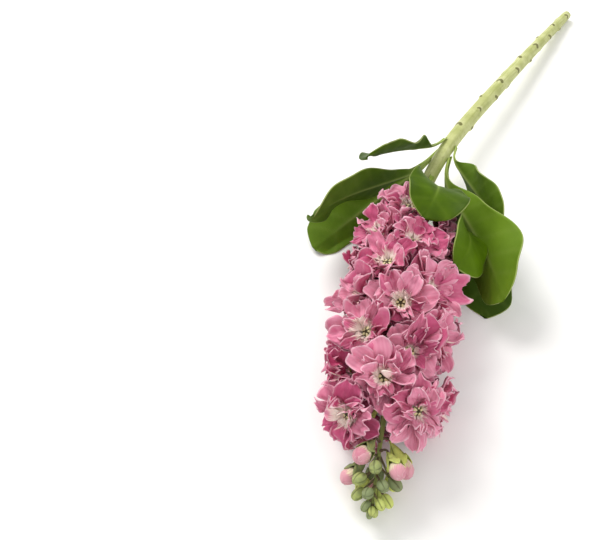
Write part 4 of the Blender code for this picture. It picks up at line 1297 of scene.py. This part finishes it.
# %% [markdown]
# ## Leaf finish
#
# The upper side is a deep mid green, softly mottled, with a paler foot, midrib and margin and faint side
# veins. How dark each leaf is painted is partly its own colour and partly painted shade: the leaf that lies
# in the shadow of the others is painted darkest. The underside is paler all over and more matt. Both are
# drawn from the numbers kept on the blade, and the thickness of the blade gives each side a finish of its
# own.

# %% Leaf colours
# The deep colours are the dark end of the mottling and of each leaf's tone, so partly painted shade.
UPPER_GREEN, UPPER_DEEP_AND_SHADE, UPPER_RIB = paint(94, 126, 8), paint(34, 56, 2), paint(160, 186, 78)
UNDER_GREEN, UNDER_DEEP_AND_SHADE, UNDER_RIB = paint(112, 144, 34), paint(62, 88, 16), paint(180, 198, 110)
MARGIN, LEAF_GLOW, LEAF_THROUGH = paint(190, 204, 124), paint(112, 152, 8), 0.12
print("leaf, upper side", [round(part, 2) for part in UPPER_GREEN[:3]])


# %% Upper side and underside
def leaf_finish(name, body, deep, rib, roughness):
    """Body colour in clouds and in the leaf's tone, which is partly painted shade, then side veins, pale
    foot, midrib and margin.
    """
    material, start = new_finish(name)
    along, across, midrib, vein, tone = kept(start, "along", "across", "midrib", "vein", "tone")
    clouds = cloudy(start, 70, 4)
    # Darker in clouds, and by the leaf's tone, which is partly painted shade.
    colour = (clouds * 0.5 + tone * 0.9 - 0.2).rise(0.1, 0.9).blend(body, deep)
    colour = (vein * 0.05).blend(colour, rib)
    colour = ((1 - along.rise(0.05, 0.3)) * 0.75).blend(colour, rib)
    colour = (midrib * (1 - along.rise(0.5, 0.95)) * 0.7).blend(colour, rib)
    colour = ((across * across).rise(0.95, 1.0) * 0.55).blend(colour, MARGIN)
    bump = relief(start, cloudy(start, 1100) * 0.5 + clouds * 0.5, 0.4, 0.0005)
    skin = waxy(start, colour, roughness + clouds * 0.2, bump, LEAF_SHINE)
    lit_through(start, skin, LEAF_GLOW, LEAF_THROUGH)
    return material


leaf_upper = leaf_finish("leaf_upper", UPPER_GREEN, UPPER_DEEP_AND_SHADE, UPPER_RIB, 0.4)
leaf_under = leaf_finish("leaf_under", UNDER_GREEN, UNDER_DEEP_AND_SHADE, UNDER_RIB, 0.5)
for number, blade in enumerate(leaf_blades, 1):
    add_piece(f"leaf_blade_{number:02d}", [blade], [leaf_upper, leaf_under],
              f"leaf_{number:02d}", thickness=LEAF_THICKNESS)
print("leaf finishes", leaf_upper.name, leaf_under.name)

# %% [markdown]
# ## The surface
#
# A plain pale sheet, a little uneven in tone, so that the shadows have something real to fall on.

# %% Finish of the surface
SHEET_PALE, SHEET_PALER, SHEET_ROUGHNESS = paint(246, 246, 246), paint(250, 250, 249), 0.85


def sheet_finish():
    """Plain matt paper white."""
    material, start = new_finish("pale_surface")
    colour = cloudy(start, 3, 2).blend(SHEET_PALE, SHEET_PALER)
    show(start, start.node("ShaderNodeBsdfPrincipled", None, {
        "Base Color": colour, "Roughness": SHEET_ROUGHNESS}))
    return material


floor_finish = sheet_finish()
print("finish", floor_finish.name)

# %% Floor
span = np.linspace(-4, 4, 9)
floor_points = np.stack([*np.meshgrid(span, span), np.zeros((9, 9))], axis=-1)
floor = bpy.data.objects.new("surface", mesh_from_sheets("surface", [dict(points=floor_points, kept={})]))
floor.data.materials.append(floor_finish)
bpy.context.scene.collection.objects.link(floor)
print("surface", [round(side, 1) for side in floor.dimensions[:2]], "m")
